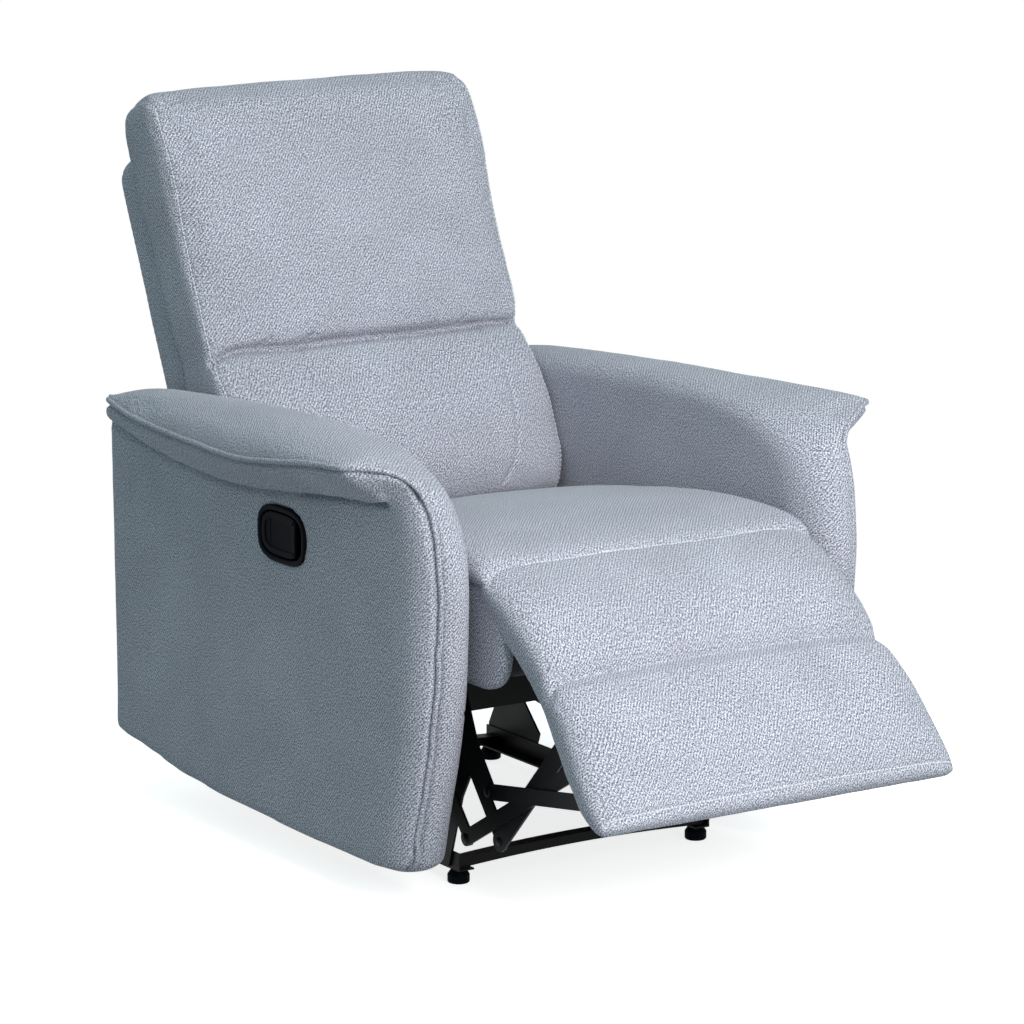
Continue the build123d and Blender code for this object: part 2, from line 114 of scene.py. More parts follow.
def reclined(x: float, s: float, t: float) -> Vector:
    """Point in metres on the leaning back: s up its length, t towards the sitter, mm."""
    u = BACK_U - s * math.sin(BACK_LEAN) + t * math.cos(BACK_LEAN)
    return chair(x, u, BACK_Z + s * math.cos(BACK_LEAN) + t * math.sin(BACK_LEAN))


def on_chair(rows: Rows, side: int = 1) -> list[Vector]:
    """Points from rows of x, u and z, mirrored where the side is -1."""
    return [chair(side * x, u, z) for x, u, z in rows]


def on_back(rows: Rows, side: int = 1) -> list[Vector]:
    """Points from rows of x, s and t on the leaning back, mirrored where the side is -1."""
    return [reclined(side * x, s, t) for x, s, t in rows]


def forward(co: np.ndarray) -> np.ndarray:
    """Distance forwards of each place, in metres."""
    return DATUM_Y / 1000 - co[:, 1]


def side_word(side: int) -> str:
    """The sitter's side of the chair, 1 being the left."""
    return "left" if side > 0 else "right"


def lerp(table: Rows, at: float, column: int = 1) -> float:
    """Smooth value from a table of rows whose first number rises.

    Args:
        table: rows of numbers, the first of each being the place.
        at: the place wanted.
        column: which number of the row to return.

    Returns:
        The value, held flat beyond either end.
    """
    xs = np.array([row[0] for row in table], float)
    ys = np.array([row[column] for row in table], float)
    if at <= xs[0]:
        return float(ys[0])
    if at >= xs[-1]:
        return float(ys[-1])
    k = int(np.searchsorted(xs, at)) - 1
    slope = np.gradient(ys, xs)
    h = xs[k + 1] - xs[k]
    w = (at - xs[k]) / h
    steep = (ys[k + 1] - ys[k]) / h
    a = float(np.clip(slope[k], min(0, 3 * steep), max(0, 3 * steep)))
    b = float(np.clip(slope[k + 1], min(0, 3 * steep), max(0, 3 * steep)))
    h00, h10 = 2 * w**3 - 3 * w**2 + 1, w**3 - 2 * w**2 + w
    h01, h11 = -2 * w**3 + 3 * w**2, w**3 - w**2
    return float(h00 * ys[k] + h10 * h * a + h01 * ys[k + 1] + h11 * h * b)


def along_points(points: Sequence[Vector], step: float) -> list[Vector]:
    """Points evenly spaced along a smooth line through the given ones.

    Args:
        points: the line's own points.
        step: spacing in metres.

    Returns:
        Evenly spaced points from the first to the last.
    """
    p = np.array([tuple(v) for v in points])
    if len(p) > 2:
        q = np.vstack([2 * p[0] - p[1], p, 2 * p[-1] - p[-2]])
        fine = []
        for i in range(1, len(q) - 2):
            for w in np.linspace(0, 1, 14, endpoint=False):
                fine.append(0.5 * (2 * q[i] + (q[i + 1] - q[i - 1]) * w
                                   + (2 * q[i - 1] - 5 * q[i] + 4 * q[i + 1] - q[i + 2]) * w**2
                                   + (3 * q[i] - q[i - 1] - 3 * q[i + 1] + q[i + 2]) * w**3))
        p = np.array(fine + [p[-1]])
    gaps = np.r_[0, np.cumsum(np.linalg.norm(np.diff(p, axis=0), axis=1))]
    count = max(2, int(round(gaps[-1] / step)) + 1)
    at = np.linspace(0, gaps[-1], count)
    return [Vector([np.interp(a, gaps, p[:, k]) for k in range(3)]) for a in at]


# ---------------------------------------------------------------- finishes
WAVE_BANDS = 3.18       # bands to the metre of a wave texture at scale 1


def linear(code: str) -> tuple[float, float, float, float]:
    """Linear colour of an sRGB hex code."""
    parts = [int(code[i:i + 2], 16) / 255 for i in (1, 3, 5)]
    r, g, b = [c / 12.92 if c <= 0.04045 else ((c + 0.055) / 1.055) ** 2.4 for c in parts]
    return (r, g, b, 1.0)


def add_node(tree: bpy.types.NodeTree, kind: str, links: dict | None = None, **settings) -> bpy.types.Node:
    """Add one shader node with its settings and links.

    Args:
        tree: the node tree.
        kind: the node's type name without its prefix.
        links: input name or number to an output socket or a plain value.
        **settings: attributes set on the node.

    Returns:
        The new node.
    """
    node = tree.nodes.new("ShaderNode" + kind)
    for name, value in settings.items():
        setattr(node, name, value)
    for name, value in (links or {}).items():
        if isinstance(value, bpy.types.NodeSocket):
            tree.links.new(value, node.inputs[name])
        else:
            node.inputs[name].default_value = value
    return node


def math_node(tree: bpy.types.NodeTree, operation: str, *values) -> bpy.types.NodeSocket:
    """Result of a math node on one or two sockets or values."""
    return add_node(tree, "Math", dict(enumerate(values)), operation=operation).outputs[0]


def raise_normal(tree: bpy.types.NodeTree, shader: bpy.types.Node, strength: float, height: float,
                 relief: bpy.types.NodeSocket) -> None:
    """Give a shader a fine relief.

    Args:
        tree: the material's nodes.
        shader: the node whose normal it moves.
        strength: share of the relief that shows.
        height: its full height in metres.
        relief: the pattern, 0 to 1.
    """
    bump = add_node(tree, "Bump", {"Strength": strength, "Distance": height, "Height": relief})
    tree.links.new(bump.outputs[0], shader.inputs["Normal"])


@dataclass(frozen=True)
class Finish:
    """A surface finish that builds one procedural material."""

    name: str
    roughness: float

    def start(self) -> tuple[bpy.types.Material, bpy.types.NodeTree, bpy.types.Node]:
        """New material with its Principled shader."""
        material = bpy.data.materials.new(self.name)
        material.use_nodes = True
        tree = material.node_tree
        shader = tree.nodes["Principled BSDF"]
        shader.inputs["Roughness"].default_value = self.roughness
        return material, tree, shader

    def build(self) -> bpy.types.Material:
        """Make the material."""
        raise NotImplementedError


@dataclass(frozen=True)
class HeatheredTwill(Finish):
    """Polyester upholstery twill of mixed light and dark yarn: dull, with fine slanting ribs."""

    dark: str = "#4F5967"
    middle: str = "#A9AAB6"
    light: str = "#EAE5ED"
    nub: str = "#50545F"
    rib_mm: float = 3.8
    fleck_mm: float = 1.7
    nub_mm: float = 4.4     # spacing of the darkest knots in the yarn
    rib_height: float = 0.022
    rib_in_tone: float = 0.13       # share of the ribs, the rest being flecks
    rib_in_relief: float = 0.88

    def build(self) -> bpy.types.Material:
        """Yarn flecks in rows of slanting ribs, laid on the side each face looks to."""
        material, tree, shader = self.start()
        shader.inputs["Specular IOR Level"].default_value = 0.25
        shader.inputs["Sheen Weight"].default_value = 0.10
        shader.inputs["Sheen Roughness"].default_value = 0.45
        turned, flat, place = self.weave_plane(tree)
        wave = {"Vector": turned, "Scale": 1000 / self.rib_mm / WAVE_BANDS, "Distortion": 0.2,
                "Detail": 2.0, "Detail Scale": 2.6}
        rib = add_node(tree, "TexWave", wave, wave_type="BANDS", bands_direction="X").outputs["Fac"]
        yarns = {0: flat, "Scale": (1000 / self.fleck_mm, 800 / self.fleck_mm, 1.0)}
        grain = add_node(tree, "Mapping", yarns)
        speck = {"Vector": grain.outputs[0], "Scale": 1.0, "Detail": 1.0, "Roughness": 0.8}
        fleck = add_node(tree, "TexNoise", speck, noise_dimensions="2D").outputs["Fac"]
        yarn = add_node(tree, "Mix", {0: self.rib_in_tone, 2: fleck, 3: rib}, data_type="FLOAT")
        relief = add_node(tree, "Mix", {0: self.rib_in_relief, 2: fleck, 3: rib}, data_type="FLOAT")
        tone = add_node(tree, "ValToRGB", {0: yarn.outputs[0]})
        ramp = tone.color_ramp
        ramp.elements[0].position, ramp.elements[0].color = 0.33, linear(self.dark)
        ramp.elements[1].position, ramp.elements[1].color = 0.69, linear(self.light)
        middle = ramp.elements.new(0.50)
        middle.color = linear(self.middle)
        cells = {"Vector": turned, "Scale": 1000 / self.nub_mm, "Randomness": 1.0}
        knot = add_node(tree, "TexVoronoi", cells, voronoi_dimensions="2D")
        spot = add_node(tree, "MapRange", {0: knot.outputs["Distance"], 1: 0.10, 2: 0.27, 3: 0.8, 4: 0.0})
        spotted = add_node(tree, "MixRGB", {0: spot.outputs[0], 1: tone.outputs[0], 2: linear(self.nub)})
        cloud = add_node(tree, "TexNoise", {"Vector": place, "Scale": 10.0, "Detail": 3.0})
        drift = add_node(tree, "MapRange", {0: cloud.outputs["Fac"], 1: 0.3, 2: 0.7, 3: 0.93, 4: 1.05})
        colour = add_node(tree, "MixRGB", {0: 1.0, 1: spotted.outputs[0], 2: drift.outputs[0]},
                          blend_type="MULTIPLY")
        tree.links.new(colour.outputs[0], shader.inputs["Base Color"])
        raise_normal(tree, shader, self.rib_height, 0.0007, relief.outputs[0])
        return material

    @staticmethod
    def weave_plane(tree: bpy.types.NodeTree) -> tuple[bpy.types.NodeSocket, ...]:
        """Flat coordinates of the cloth on each side of a piece.

        Args:
            tree: the material's nodes.

        Returns:
            Coordinates across and along the ribs in metres, those of the warp, and the plain place.
        """
        place = add_node(tree, "TexCoord")
        looks = add_node(tree, "SeparateXYZ", {0: place.outputs["Normal"]})
        size = [math_node(tree, "ABSOLUTE", looks.outputs[k]) for k in range(3)]
        is_z = math_node(tree, "GREATER_THAN", size[2], math_node(tree, "MAXIMUM", size[0], size[1]))
        is_x = math_node(tree, "GREATER_THAN", size[0], math_node(tree, "MAXIMUM", size[1], size[2]))
        at = add_node(tree, "SeparateXYZ", {0: place.outputs["Object"]}).outputs
        around = math_node(tree, "MULTIPLY", at[1], math_node(tree, "SIGN", looks.outputs[0]))
        across = add_node(tree, "Mix", {0: is_x, 2: at[0], 3: around}, data_type="FLOAT").outputs[0]
        up = add_node(tree, "Mix", {0: is_z, 2: at[2], 3: at[1]}, data_type="FLOAT").outputs[0]
        flat = add_node(tree, "CombineXYZ", {0: across, 1: up})
        turned = add_node(tree, "Mapping", {0: flat.outputs[0], "Rotation": (0, 0, math.radians(40))})
        warp = add_node(tree, "TexNoise", {"Vector": place.outputs["Object"], "Scale": 60.0, "Detail": 1.0})
        nudge = add_node(tree, "MixRGB", {0: 0.0016, 1: turned.outputs[0], 2: warp.outputs["Color"]},
                         blend_type="ADD")
        return nudge.outputs[0], flat.outputs[0], place.outputs["Object"]


@dataclass(frozen=True)
class PlainYarn(Finish):
    """Spun yarn or woven strap: dull, finely ridged along its run."""

    colour: str
    ridge_mm: float

    def build(self) -> bpy.types.Material:
        """Flat colour broken by fine ridges."""
        material, tree, shader = self.start()
        place = add_node(tree, "TexCoord")
        strands = {"Vector": place.outputs["Object"], "Scale": 1000 / self.ridge_mm / 2, "Detail": 2.0}
        ridge = add_node(tree, "TexNoise", strands)
        base = linear(self.colour)
        dim = tuple(c * 0.72 for c in base[:3]) + (1.0,)
        colour = add_node(tree, "MixRGB", {0: ridge.outputs["Fac"], 1: dim, 2: base})
        tree.links.new(colour.outputs[0], shader.inputs["Base Color"])
        raise_normal(tree, shader, 0.4, 0.0003, ridge.outputs["Fac"])
        return material


@dataclass(frozen=True)
class PowderCoat(Finish):
    """Baked powder paint on pressed steel: semi-gloss black with a faint orange-peel."""

    colour: str = "#07080A"
    rubbed: str = "#0E1013"
    peel_mm: float = 2.2
    peel_height: float = 0.12
    specular: float = 0.12

    def build(self) -> bpy.types.Material:
        """Dark paint with a soft ripple and slightly dustier patches."""
        material, tree, shader = self.start()
        shader.inputs["Specular IOR Level"].default_value = self.specular
        place = add_node(tree, "TexCoord")
        patch = add_node(tree, "TexNoise", {"Vector": place.outputs["Object"], "Scale": 14.0, "Detail": 4.0})
        mix = add_node(tree, "MapRange", {0: patch.outputs["Fac"], 1: 0.45, 2: 0.75})
        tones = {0: mix.outputs[0], 1: linear(self.colour), 2: linear(self.rubbed)}
        tree.links.new(add_node(tree, "MixRGB", tones).outputs[0], shader.inputs["Base Color"])
        dull = {0: patch.outputs["Fac"], 3: self.roughness - 0.08, 4: self.roughness + 0.12}
        tree.links.new(add_node(tree, "MapRange", dull).outputs[0], shader.inputs["Roughness"])
        ripple = {"Vector": place.outputs["Object"], "Scale": 1000 / self.peel_mm, "Detail": 1.0}
        peel = add_node(tree, "TexNoise", ripple)
        raise_normal(tree, shader, self.peel_height, 0.0004, peel.outputs["Fac"])
        return material


@dataclass(frozen=True)
class Plywood(Finish):
    """Raw birch plywood: pale, dry, with long soft grain."""

    pale: str = "#C9A877"
    dark: str = "#9C7747"
    grain_mm: float = 14.0

    def build(self) -> bpy.types.Material:
        """Stretched grain with a dry surface."""
        material, tree, shader = self.start()
        place = add_node(tree, "TexCoord")
        dense = 1000 / self.grain_mm
        run = add_node(tree, "Mapping", {0: place.outputs["Object"], "Scale": (dense, 3.0, dense)})
        streak = {"Vector": run.outputs[0], "Scale": 1.0, "Detail": 6.0, "Roughness": 0.65}
        grain = add_node(tree, "TexNoise", streak).outputs["Fac"]
        colour = add_node(tree, "MixRGB", {0: grain, 1: linear(self.pale), 2: linear(self.dark)})
        tree.links.new(colour.outputs[0], shader.inputs["Base Color"])
        raise_normal(tree, shader, 0.2, 0.0004, grain)
        return material


class Cloth(Enum):
    """The chair's finishes, by where they are used."""

    COVER = HeatheredTwill("heathered_polyester_twill", 0.92)
    THREAD = PlainYarn("pale_spun_polyester_thread", 0.8, "#E6E8EC", 0.8)
    DUST = PlainYarn("black_nonwoven_dust_cover", 0.95, "#1B1C1F", 2.4)
    STRAP = PlainYarn("black_elastic_webbing", 0.85, "#191A1D", 1.6)
    STEEL = PowderCoat("black_powder_coated_steel", 0.42)
    PLASTIC = PowderCoat("black_moulded_polypropylene", 0.55, "#0A0E13", "#0E1319", 0.9, 0.2, 0.03)
    PLATED = PowderCoat("zinc_plated_steel_pin", 0.4, "#7C7F84", "#94979C", 1.5, 0.08, 0.5)
    BOARD = Plywood("raw_birch_plywood", 0.75)


class Wardrobe:
    """Makes each finish once and puts it on pieces."""

    def __init__(self) -> None:
        """Start with no materials made."""
        self.made: dict[Cloth, bpy.types.Material] = {}

    def get(self, cloth: Cloth) -> bpy.types.Material:
        """Material of a finish."""
        if cloth not in self.made:
            self.made[cloth] = cloth.value.build()
        return self.made[cloth]

    def dress(self, obj: bpy.types.Object, *cloths: Cloth) -> bpy.types.Object:
        """Put finishes on a piece, the first one all over."""
        if obj.data.users > 1:
            obj.data = obj.data.copy()
        obj.data.materials.clear()
        for cloth in cloths:
            obj.data.materials.append(self.get(cloth))
        return obj


# ---------------------------------------------------------------- mesh work
def only(obj: bpy.types.Object) -> bpy.types.Object:
    """Select one object and make it active."""
    bpy.ops.object.select_all(action="DESELECT")
    obj.select_set(True)
    bpy.context.view_layer.objects.active = obj
    return obj


def apply_modifier(obj: bpy.types.Object, kind: str, **settings) -> None:
    """Add a modifier with its settings and apply it."""
    only(obj)
    modifier = obj.modifiers.new(kind.title(), kind)
    for name, value in settings.items():
        setattr(modifier, name, value)
    bpy.ops.object.modifier_apply(modifier=modifier.name)


def loft(name: str, rings: Sequence[Sequence[Vector]]) -> bpy.types.Object:
    """Closed mesh through equal rings of points, with both ends filled.

    Args:
        name: the object's name.
        rings: rings of as many points each, in order.

    Returns:
        The new object, with its faces outwards.
    """
    count = len(rings[0])
    return new_object(name, [p for ring in rings for p in ring], tube_faces(len(rings), count))


def tube_faces(rows: int, count: int, first: int = 0) -> list[list[int]]:
    """Faces of a closed tube.

    Args:
        rows: how many rings it has.
        count: how many points a ring has.
        first: number of its first point.

    Returns:
        The faces between the rings, then both ends.
    """
    faces = []
    sides = [(k, (k + 1) % count) for k in range(count)]
    for here in range(first, first + (rows - 1) * count, count):
        ahead = here + count
        faces += [[here + k, here + n, ahead + n, ahead + k] for k, n in sides]
    last = first + (rows - 1) * count
    return faces + [[first + k for k in range(count)][::-1], [last + k for k in range(count)]]


def new_object(name: str, points: Sequence[Vector], faces: Sequence[Sequence[int]]) -> bpy.types.Object:
    """Mesh object from points and faces, with its faces outwards."""
    mesh = bpy.data.meshes.new(name)
    mesh.from_pydata([tuple(p) for p in points], [], faces)
    obj = bpy.data.objects.new(name, mesh)
    bpy.context.scene.collection.objects.link(obj)
    outward(obj)
    return obj


def outward(obj: bpy.types.Object) -> None:
    """Point every face outwards."""
    mesh = bmesh.new()
    mesh.from_mesh(obj.data)
    bmesh.ops.recalc_face_normals(mesh, faces=mesh.faces)
    mesh.to_mesh(obj.data)
    mesh.free()


def smooth(obj: bpy.types.Object) -> None:
    """Shade every face smooth."""
    obj.data.polygons.foreach_set("use_smooth", [True] * len(obj.data.polygons))


def join(parts: Sequence[bpy.types.Object], name: str) -> bpy.types.Object:
    """Join several objects into the first one and name it."""
    bpy.ops.object.select_all(action="DESELECT")
    for part in parts:
        part.select_set(True)
    bpy.context.view_layer.objects.active = parts[0]
    if len(parts) > 1:
        bpy.ops.object.join()
    parts[0].name = name
    parts[0].data.name = name
    return parts[0]


def co_of(obj: bpy.types.Object) -> np.ndarray:
    """Vertex places of a mesh."""
    co = np.empty(len(obj.data.vertices) * 3)
    obj.data.vertices.foreach_get("co", co)
    return co.reshape(-1, 3)


def set_co(obj: bpy.types.Object, co: np.ndarray) -> None:
    """Write vertex places back to a mesh."""
    obj.data.vertices.foreach_set("co", co.ravel())
    obj.data.update()


def normals_of(obj: bpy.types.Object) -> np.ndarray:
    """Vertex normals of a mesh."""
    out = np.empty(len(obj.data.vertices) * 3)
    obj.data.vertex_normals.foreach_get("vector", out)
    return out.reshape(-1, 3)


def surface_of(obj: bpy.types.Object) -> BVHTree:
    """Search tree of an object's faces."""
    return BVHTree.FromPolygons([v.co for v in obj.data.vertices], [p.vertices for p in obj.data.polygons])


def relax(obj: bpy.types.Object, rounds: int) -> None:
    """Even out a mesh, moving each point half-way to the middle of its neighbours in each round."""
    edges = np.empty(len(obj.data.edges) * 2, int)
    obj.data.edges.foreach_get("vertices", edges)
    a, b = edges.reshape(-1, 2).T
    co = co_of(obj)
    degree = np.bincount(np.r_[a, b], minlength=len(co)).clip(1)[:, None]
    for _ in range(rounds):
        total = np.zeros_like(co)
        for k in range(3):
            total[:, k] = np.bincount(a, co[b, k], len(co)) + np.bincount(b, co[a, k], len(co))
        co += 0.5 * (total / degree - co)
    set_co(obj, co)


def near_line(co: np.ndarray, line: Sequence[Vector], reach: float) -> tuple[np.ndarray, ...]:
    """Points near a line and how far they are from it.

    Args:
        co: places.
        line: points close together.
        reach: the furthest distance that counts.

    Returns:
        Numbers of the near points, their distances, and the share along the line of each.
    """
    p = np.array([tuple(v) for v in line])
    low, high = p.min(0) - reach, p.max(0) + reach
    near = np.flatnonzero(((co > low) & (co < high)).all(1))
    if not len(near):
        return near, np.zeros(0), np.zeros(0)
    best = np.full(len(near), 1e9)
    where = np.zeros(len(near))
    for i in range(len(p) - 1):
        d = p[i + 1] - p[i]
        w = np.clip(((co[near] - p[i]) @ d) / max(d @ d, 1e-18), 0, 1)
        gap = np.linalg.norm(co[near] - (p[i] + w[:, None] * d), axis=1)
        closer = gap < best
        best[closer] = gap[closer]
        where[closer] = (i + w[closer]) / (len(p) - 1)
    keep = best < reach
    return near[keep], best[keep], where[keep]


def round_ring(centre: Vector, side: Vector, up: Vector, radius: float, count: int) -> list[Vector]:
    """Points evenly spaced on a circle, given the two directions it lies in."""
    angles = [2 * math.pi * k / count for k in range(count)]
    return [centre + (side * math.cos(a) + up * math.sin(a)) * radius for a in angles]


def evened(line: Sequence[Vector], rounds: int) -> list[Vector]:
    """The line's points with their jumps smoothed out, its ends kept."""
    for _ in range(rounds):
        inner = [(a + b * 2 + c) / 4 for a, b, c in zip(line, line[1:], line[2:])]
        line = [line[0]] + inner + [line[-1]]
    return list(line)


SEAM_STEP = 0.008       # spacing of a seam's points, metres
# the rings of one stitch: place along it, rise in metres, share of its radius
STITCH = ((-0.5, -0.0004, 0.55), (-0.3, 0.0006, 1), (0.3, 0.0006, 1), (0.5, -0.0004, 0.55))


@dataclass
class Seam:
    """A sewn line: points on the cover, how wide and deep it pulls, and its thread."""

    name: str
    points: list[Vector]
    width: float = 0.011
    depth: float = 0.004
    pucker: float = 0.0
    thread: bool = False
    stitch: float = 0.0062

    def lay(self, tree: BVHTree) -> None:
        """Put the seam's points on the cover and even them out."""
        line = [tree.find_nearest(p)[0] for p in along_points(self.points, SEAM_STEP)]
        self.points = evened(line, 4)

    def line(self) -> list[Vector]:
        """Close points along the seam."""
        return along_points(self.points, SEAM_STEP)

    def pull(self, co: np.ndarray, out: np.ndarray) -> np.ndarray:
        """How far the seam draws each point of the cover in, with small gathers beside it if asked.

        Args:
            co: the cover's points.
            out: their normals.

        Returns:
            Each point's move.
        """
        move = np.zeros_like(co)
        near, gap, _ = near_line(co, self.line(), self.width)
        move[near] -= out[near] * (self.depth * (1 - (gap / self.width) ** 2) ** 2)[:, None]
        if self.pucker:
            reach = self.width * 5
            near, gap, share = near_line(co, self.line(), reach)
            length = sum((b - a).length for a, b in zip(self.points, self.points[1:]))
            wave = np.array([noise.noise(Vector((s * length * 55, 3.7, len(self.name)))) for s in share])
            fall = np.exp(-gap / (reach * 0.35)) * (1 - gap / reach)
            move[near] += out[near] * (self.pucker * wave * fall)[:, None]
        return move

    def sew(self, obj: bpy.types.Object) -> bpy.types.Object:
        """Stitches lying on a finished cover along the seam, one short rounded one after another."""
        tree = surface_of(obj)
        line = along_points(self.points, self.stitch)
        points, faces = [], []
        sides, radius = 6, 0.0011
        for a, b in zip(line, line[1:]):
            run = (b - a).normalized()
            at, face_out, _, _ = tree.find_nearest((a + b) / 2)
            if at is None:
                continue
            beside = run.cross(face_out).normalized()
            lift = face_out.normalized()
            length = self.stitch * 0.74
            faces += tube_faces(len(STITCH), sides, len(points))
            for along, rise, r in STITCH:
                centre = tree.find_nearest((a + b) / 2 + run * along * length)[0]
                centre = centre + lift * rise
                points += round_ring(centre, beside, lift, radius * r, sides)
        thread = new_object(self.name, points, faces)
        smooth(thread)
        return thread


def welt(name: str, points: Sequence[Vector], radius: float, target: bpy.types.Object,
         sink: float) -> bpy.types.Object:
    """Covered piping cord lying in the cover along a line.

    Args:
        name: the object's name.
        points: the line's points.
        radius: the cord's radius in metres.
        target: the cover it is sewn to.
        sink: share of the radius that lies below the cover.

    Returns:
        The piping as a closed tube with rounded ends.
    """
    tree = surface_of(target)
    laid = [tree.find_nearest(p)[:2] for p in along_points(points, radius * 1.6)]
    line = evened([at + out * radius * (1 - 2 * sink) for at, out in laid], 6)
    outs = evened([out for _, out in laid], 6)
    rings = []
    for i, centre in enumerate(line):
        run = (line[min(i + 1, len(line) - 1)] - line[max(i - 1, 0)]).normalized()
        side = run.cross(outs[i]).normalized()
        end = min(i, len(line) - 1 - i)
        r = radius * (0.55 if end == 0 else 0.9 if end == 1 else 1.0)
        rings.append(round_ring(centre, side, side.cross(run).normalized(), r, 10))
    cord = loft(name, rings)
    smooth(cord)
    return cord


CLOTH_FRAMES = 20       # how long the air pressure works


@dataclass
class SoftPiece:
    """One padded, sewn piece: its rough body, padding and seams."""

    name: str
    body: str
    stands_for: tuple[str, ...]
    voxel: float = 0.006
    rounds: int = 6
    pressure: float = 0.0
    cap: float = 0.012
    fine: int = 1
    fill: float = 0.7
    seams: list[Seam] = field(default_factory=list)
    ripple: float = 0.0012
    cloth: Cloth = Cloth.COVER

    def rough(self) -> bpy.types.Object:
        """Rough closed body of the piece."""
        raise NotImplementedError

    def held(self, co: np.ndarray) -> np.ndarray:
        """How freely each point may swell, 0 to 1."""
        return np.ones(len(co))

    def shape(self, obj: bpy.types.Object) -> None:
        """Last shaping after the padding and before the seams."""

    def swell(self, obj: bpy.types.Object) -> None:
        """Fill the cover with air pressure as cloth and keep the shape it takes."""
        before, free = co_of(obj), self.held(co_of(obj))
        only(obj)
        group = obj.vertex_groups.new(name="held")
        for number in np.flatnonzero(free < 0.35):
            group.add([int(number)], 1.0, "REPLACE")
        cloth = obj.modifiers.new("Cloth", "CLOTH")
        settings = cloth.settings
        settings.quality = 4
        settings.use_pressure = True
        settings.uniform_pressure_force = self.pressure
        settings.effector_weights.gravity = 0
        settings.tension_stiffness = settings.compression_stiffness = 12
        settings.bending_stiffness = 1.2
        settings.vertex_group_mass = "held"
        settings.pin_stiffness = 1
        cloth.collision_settings.use_collision = False
        cloth.point_cache.frame_start, cloth.point_cache.frame_end = 1, CLOTH_FRAMES
        scene = bpy.context.scene
        for frame in range(1, CLOTH_FRAMES + 1):
            scene.frame_set(frame)
        bpy.ops.object.modifier_apply(modifier=cloth.name)
        scene.frame_set(1)
        move = co_of(obj) - before
        length = np.linalg.norm(move, axis=1, keepdims=True).clip(1e-9)
        move *= np.minimum(1, self.cap / length) * free[:, None]
        set_co(obj, before + move)
        obj.vertex_groups.clear()
        relax(obj, 2)

    def build(self, wardrobe: Wardrobe) -> bpy.types.Object:
        """Make, pad, sew and dress the piece.

        Args:
            wardrobe: where finishes come from.

        Returns:
            The finished piece, left where its settle step puts it: riding on its body for most pieces.
        """
        obj = self.rough()
        obj.name = obj.data.name = self.name
        coarser = 1
        apply_modifier(obj, "REMESH", mode="VOXEL", voxel_size=self.voxel * coarser)
        relax(obj, self.rounds // coarser)
        if self.pressure:
            self.swell(obj)
        self.shape(obj)
        if self.fine:
            apply_modifier(obj, "SUBSURF", levels=self.fine, render_levels=self.fine)
        if self.ripple:
            co, out = co_of(obj), normals_of(obj)
            rise = np.array([noise.noise(Vector(p) * 11) + 0.4 * noise.noise(Vector(p) * 31) for p in co])
            set_co(obj, co + out * (self.ripple * rise)[:, None])
        tree = surface_of(obj)
        for seam in self.seams:
            seam.lay(tree)
        co, out = co_of(obj), normals_of(obj)
        set_co(obj, sum((seam.pull(co, out) for seam in self.seams), co))
        smooth(obj)
        wardrobe.dress(obj, self.cloth)
        self.settle(obj)
        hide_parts(*self.stands_for)
        for seam in self.seams:
            if seam.thread:
                thread = wardrobe.dress(seam.sew(obj), Cloth.THREAD)
                self.settle(thread)
        LOG.info("%s: %d faces", self.name, len(obj.data.polygons))
        return obj

    def settle(self, obj: bpy.types.Object) -> None:
        """Let the piece ride on its body."""
        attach(obj, self.body)


def across_front(count: int) -> np.ndarray:
    """Shares of the half width from one edge to the other, closer together near the edges."""
    return np.sin(np.linspace(math.pi / 2, -math.pi / 2, count))


# ---------------------------------------------------------------- back
# where the side band of the back cushion is sewn to its front: s, t
BOXING = ((-4, 80), (14, 95), (60, 108), (118, 110), (170, 105), (215, 88), (240, 80), (262, 72), (300, 77),
          (390, 78), (458, 81), (508, 89), (557, 91), (606, 86), (633, 84), (650, 66), (668, 40))


@dataclass
class BackCushion(SoftPiece):
    """Head cushion and lumbar roll in one cover, parted by a pulled crease."""

    # s and t of the face and of the rear, s and half width
    front: tuple = ((-4, 104), (14, 122), (60, 135), (118, 138), (170, 132), (215, 118), (236, 108),
                    (247, 100), (254, 91), (258, 83), (262, 92), (270, 101), (300, 106), (370, 108),
                    (460, 110), (540, 110), (605, 104), (638, 93), (656, 73), (668, 46))
    rear: tuple = ((-4, -19), (620, -19), (650, -12), (662, 0), (668, 14))
    half: tuple = ((-4, 262), (16, 267), (60, 270), (245, 269), (264, 266), (282, 269), (400, 272),
                   (560, 275), (618, 275), (640, 272), (654, 265), (663, 254), (668, 243))

    def rough(self) -> bpy.types.Object:
        """Rings from the seat up to the rounded top."""
        rings = []
        for s in (-4, 0, 8, 20, 40, 60, 90, 120, 150, 180, 205, 225, 240, 250, 257, 263, 269, 276, 288, 305,
                  330, 370, 420, 470, 520, 560, 590, 610, 628, 640, 650, 657, 663, 668):
            front, rear, half = (lerp(t, s) for t in (self.front, self.rear, self.half))
            seam = min(lerp(BOXING, s), front - 4)
            power = 3.3 if s > 280 else 4.2
            band = [(half + 2 * math.sin(math.pi * w), rear + (seam - rear) * w) for w in (0.25, 0.5, 0.75)]
            ring = [(x * half, rear) for x in np.linspace(-1, 1, 9)] + band
            ring += [(x * half, seam + (front - seam) * (1 - abs(x) ** power)) for x in across_front(41)]
            ring += [(-x, t) for x, t in band[::-1]]
            rings.append([reclined(x, s, t) for x, t in ring])
        return loft(self.name, rings)

    def held(self, co: np.ndarray) -> np.ndarray:
        """Only the front swells, and not at the crease."""
        u, z = forward(co) - BACK_U / 1000, co[:, 2] - BACK_Z / 1000
        s = -u * math.sin(BACK_LEAN) + z * math.cos(BACK_LEAN)
        t = u * math.cos(BACK_LEAN) + z * math.sin(BACK_LEAN)
        return np.clip((t - 0.05) / 0.03, 0, 1) * np.clip(np.abs(s - 0.266) / 0.04, 0, 1)


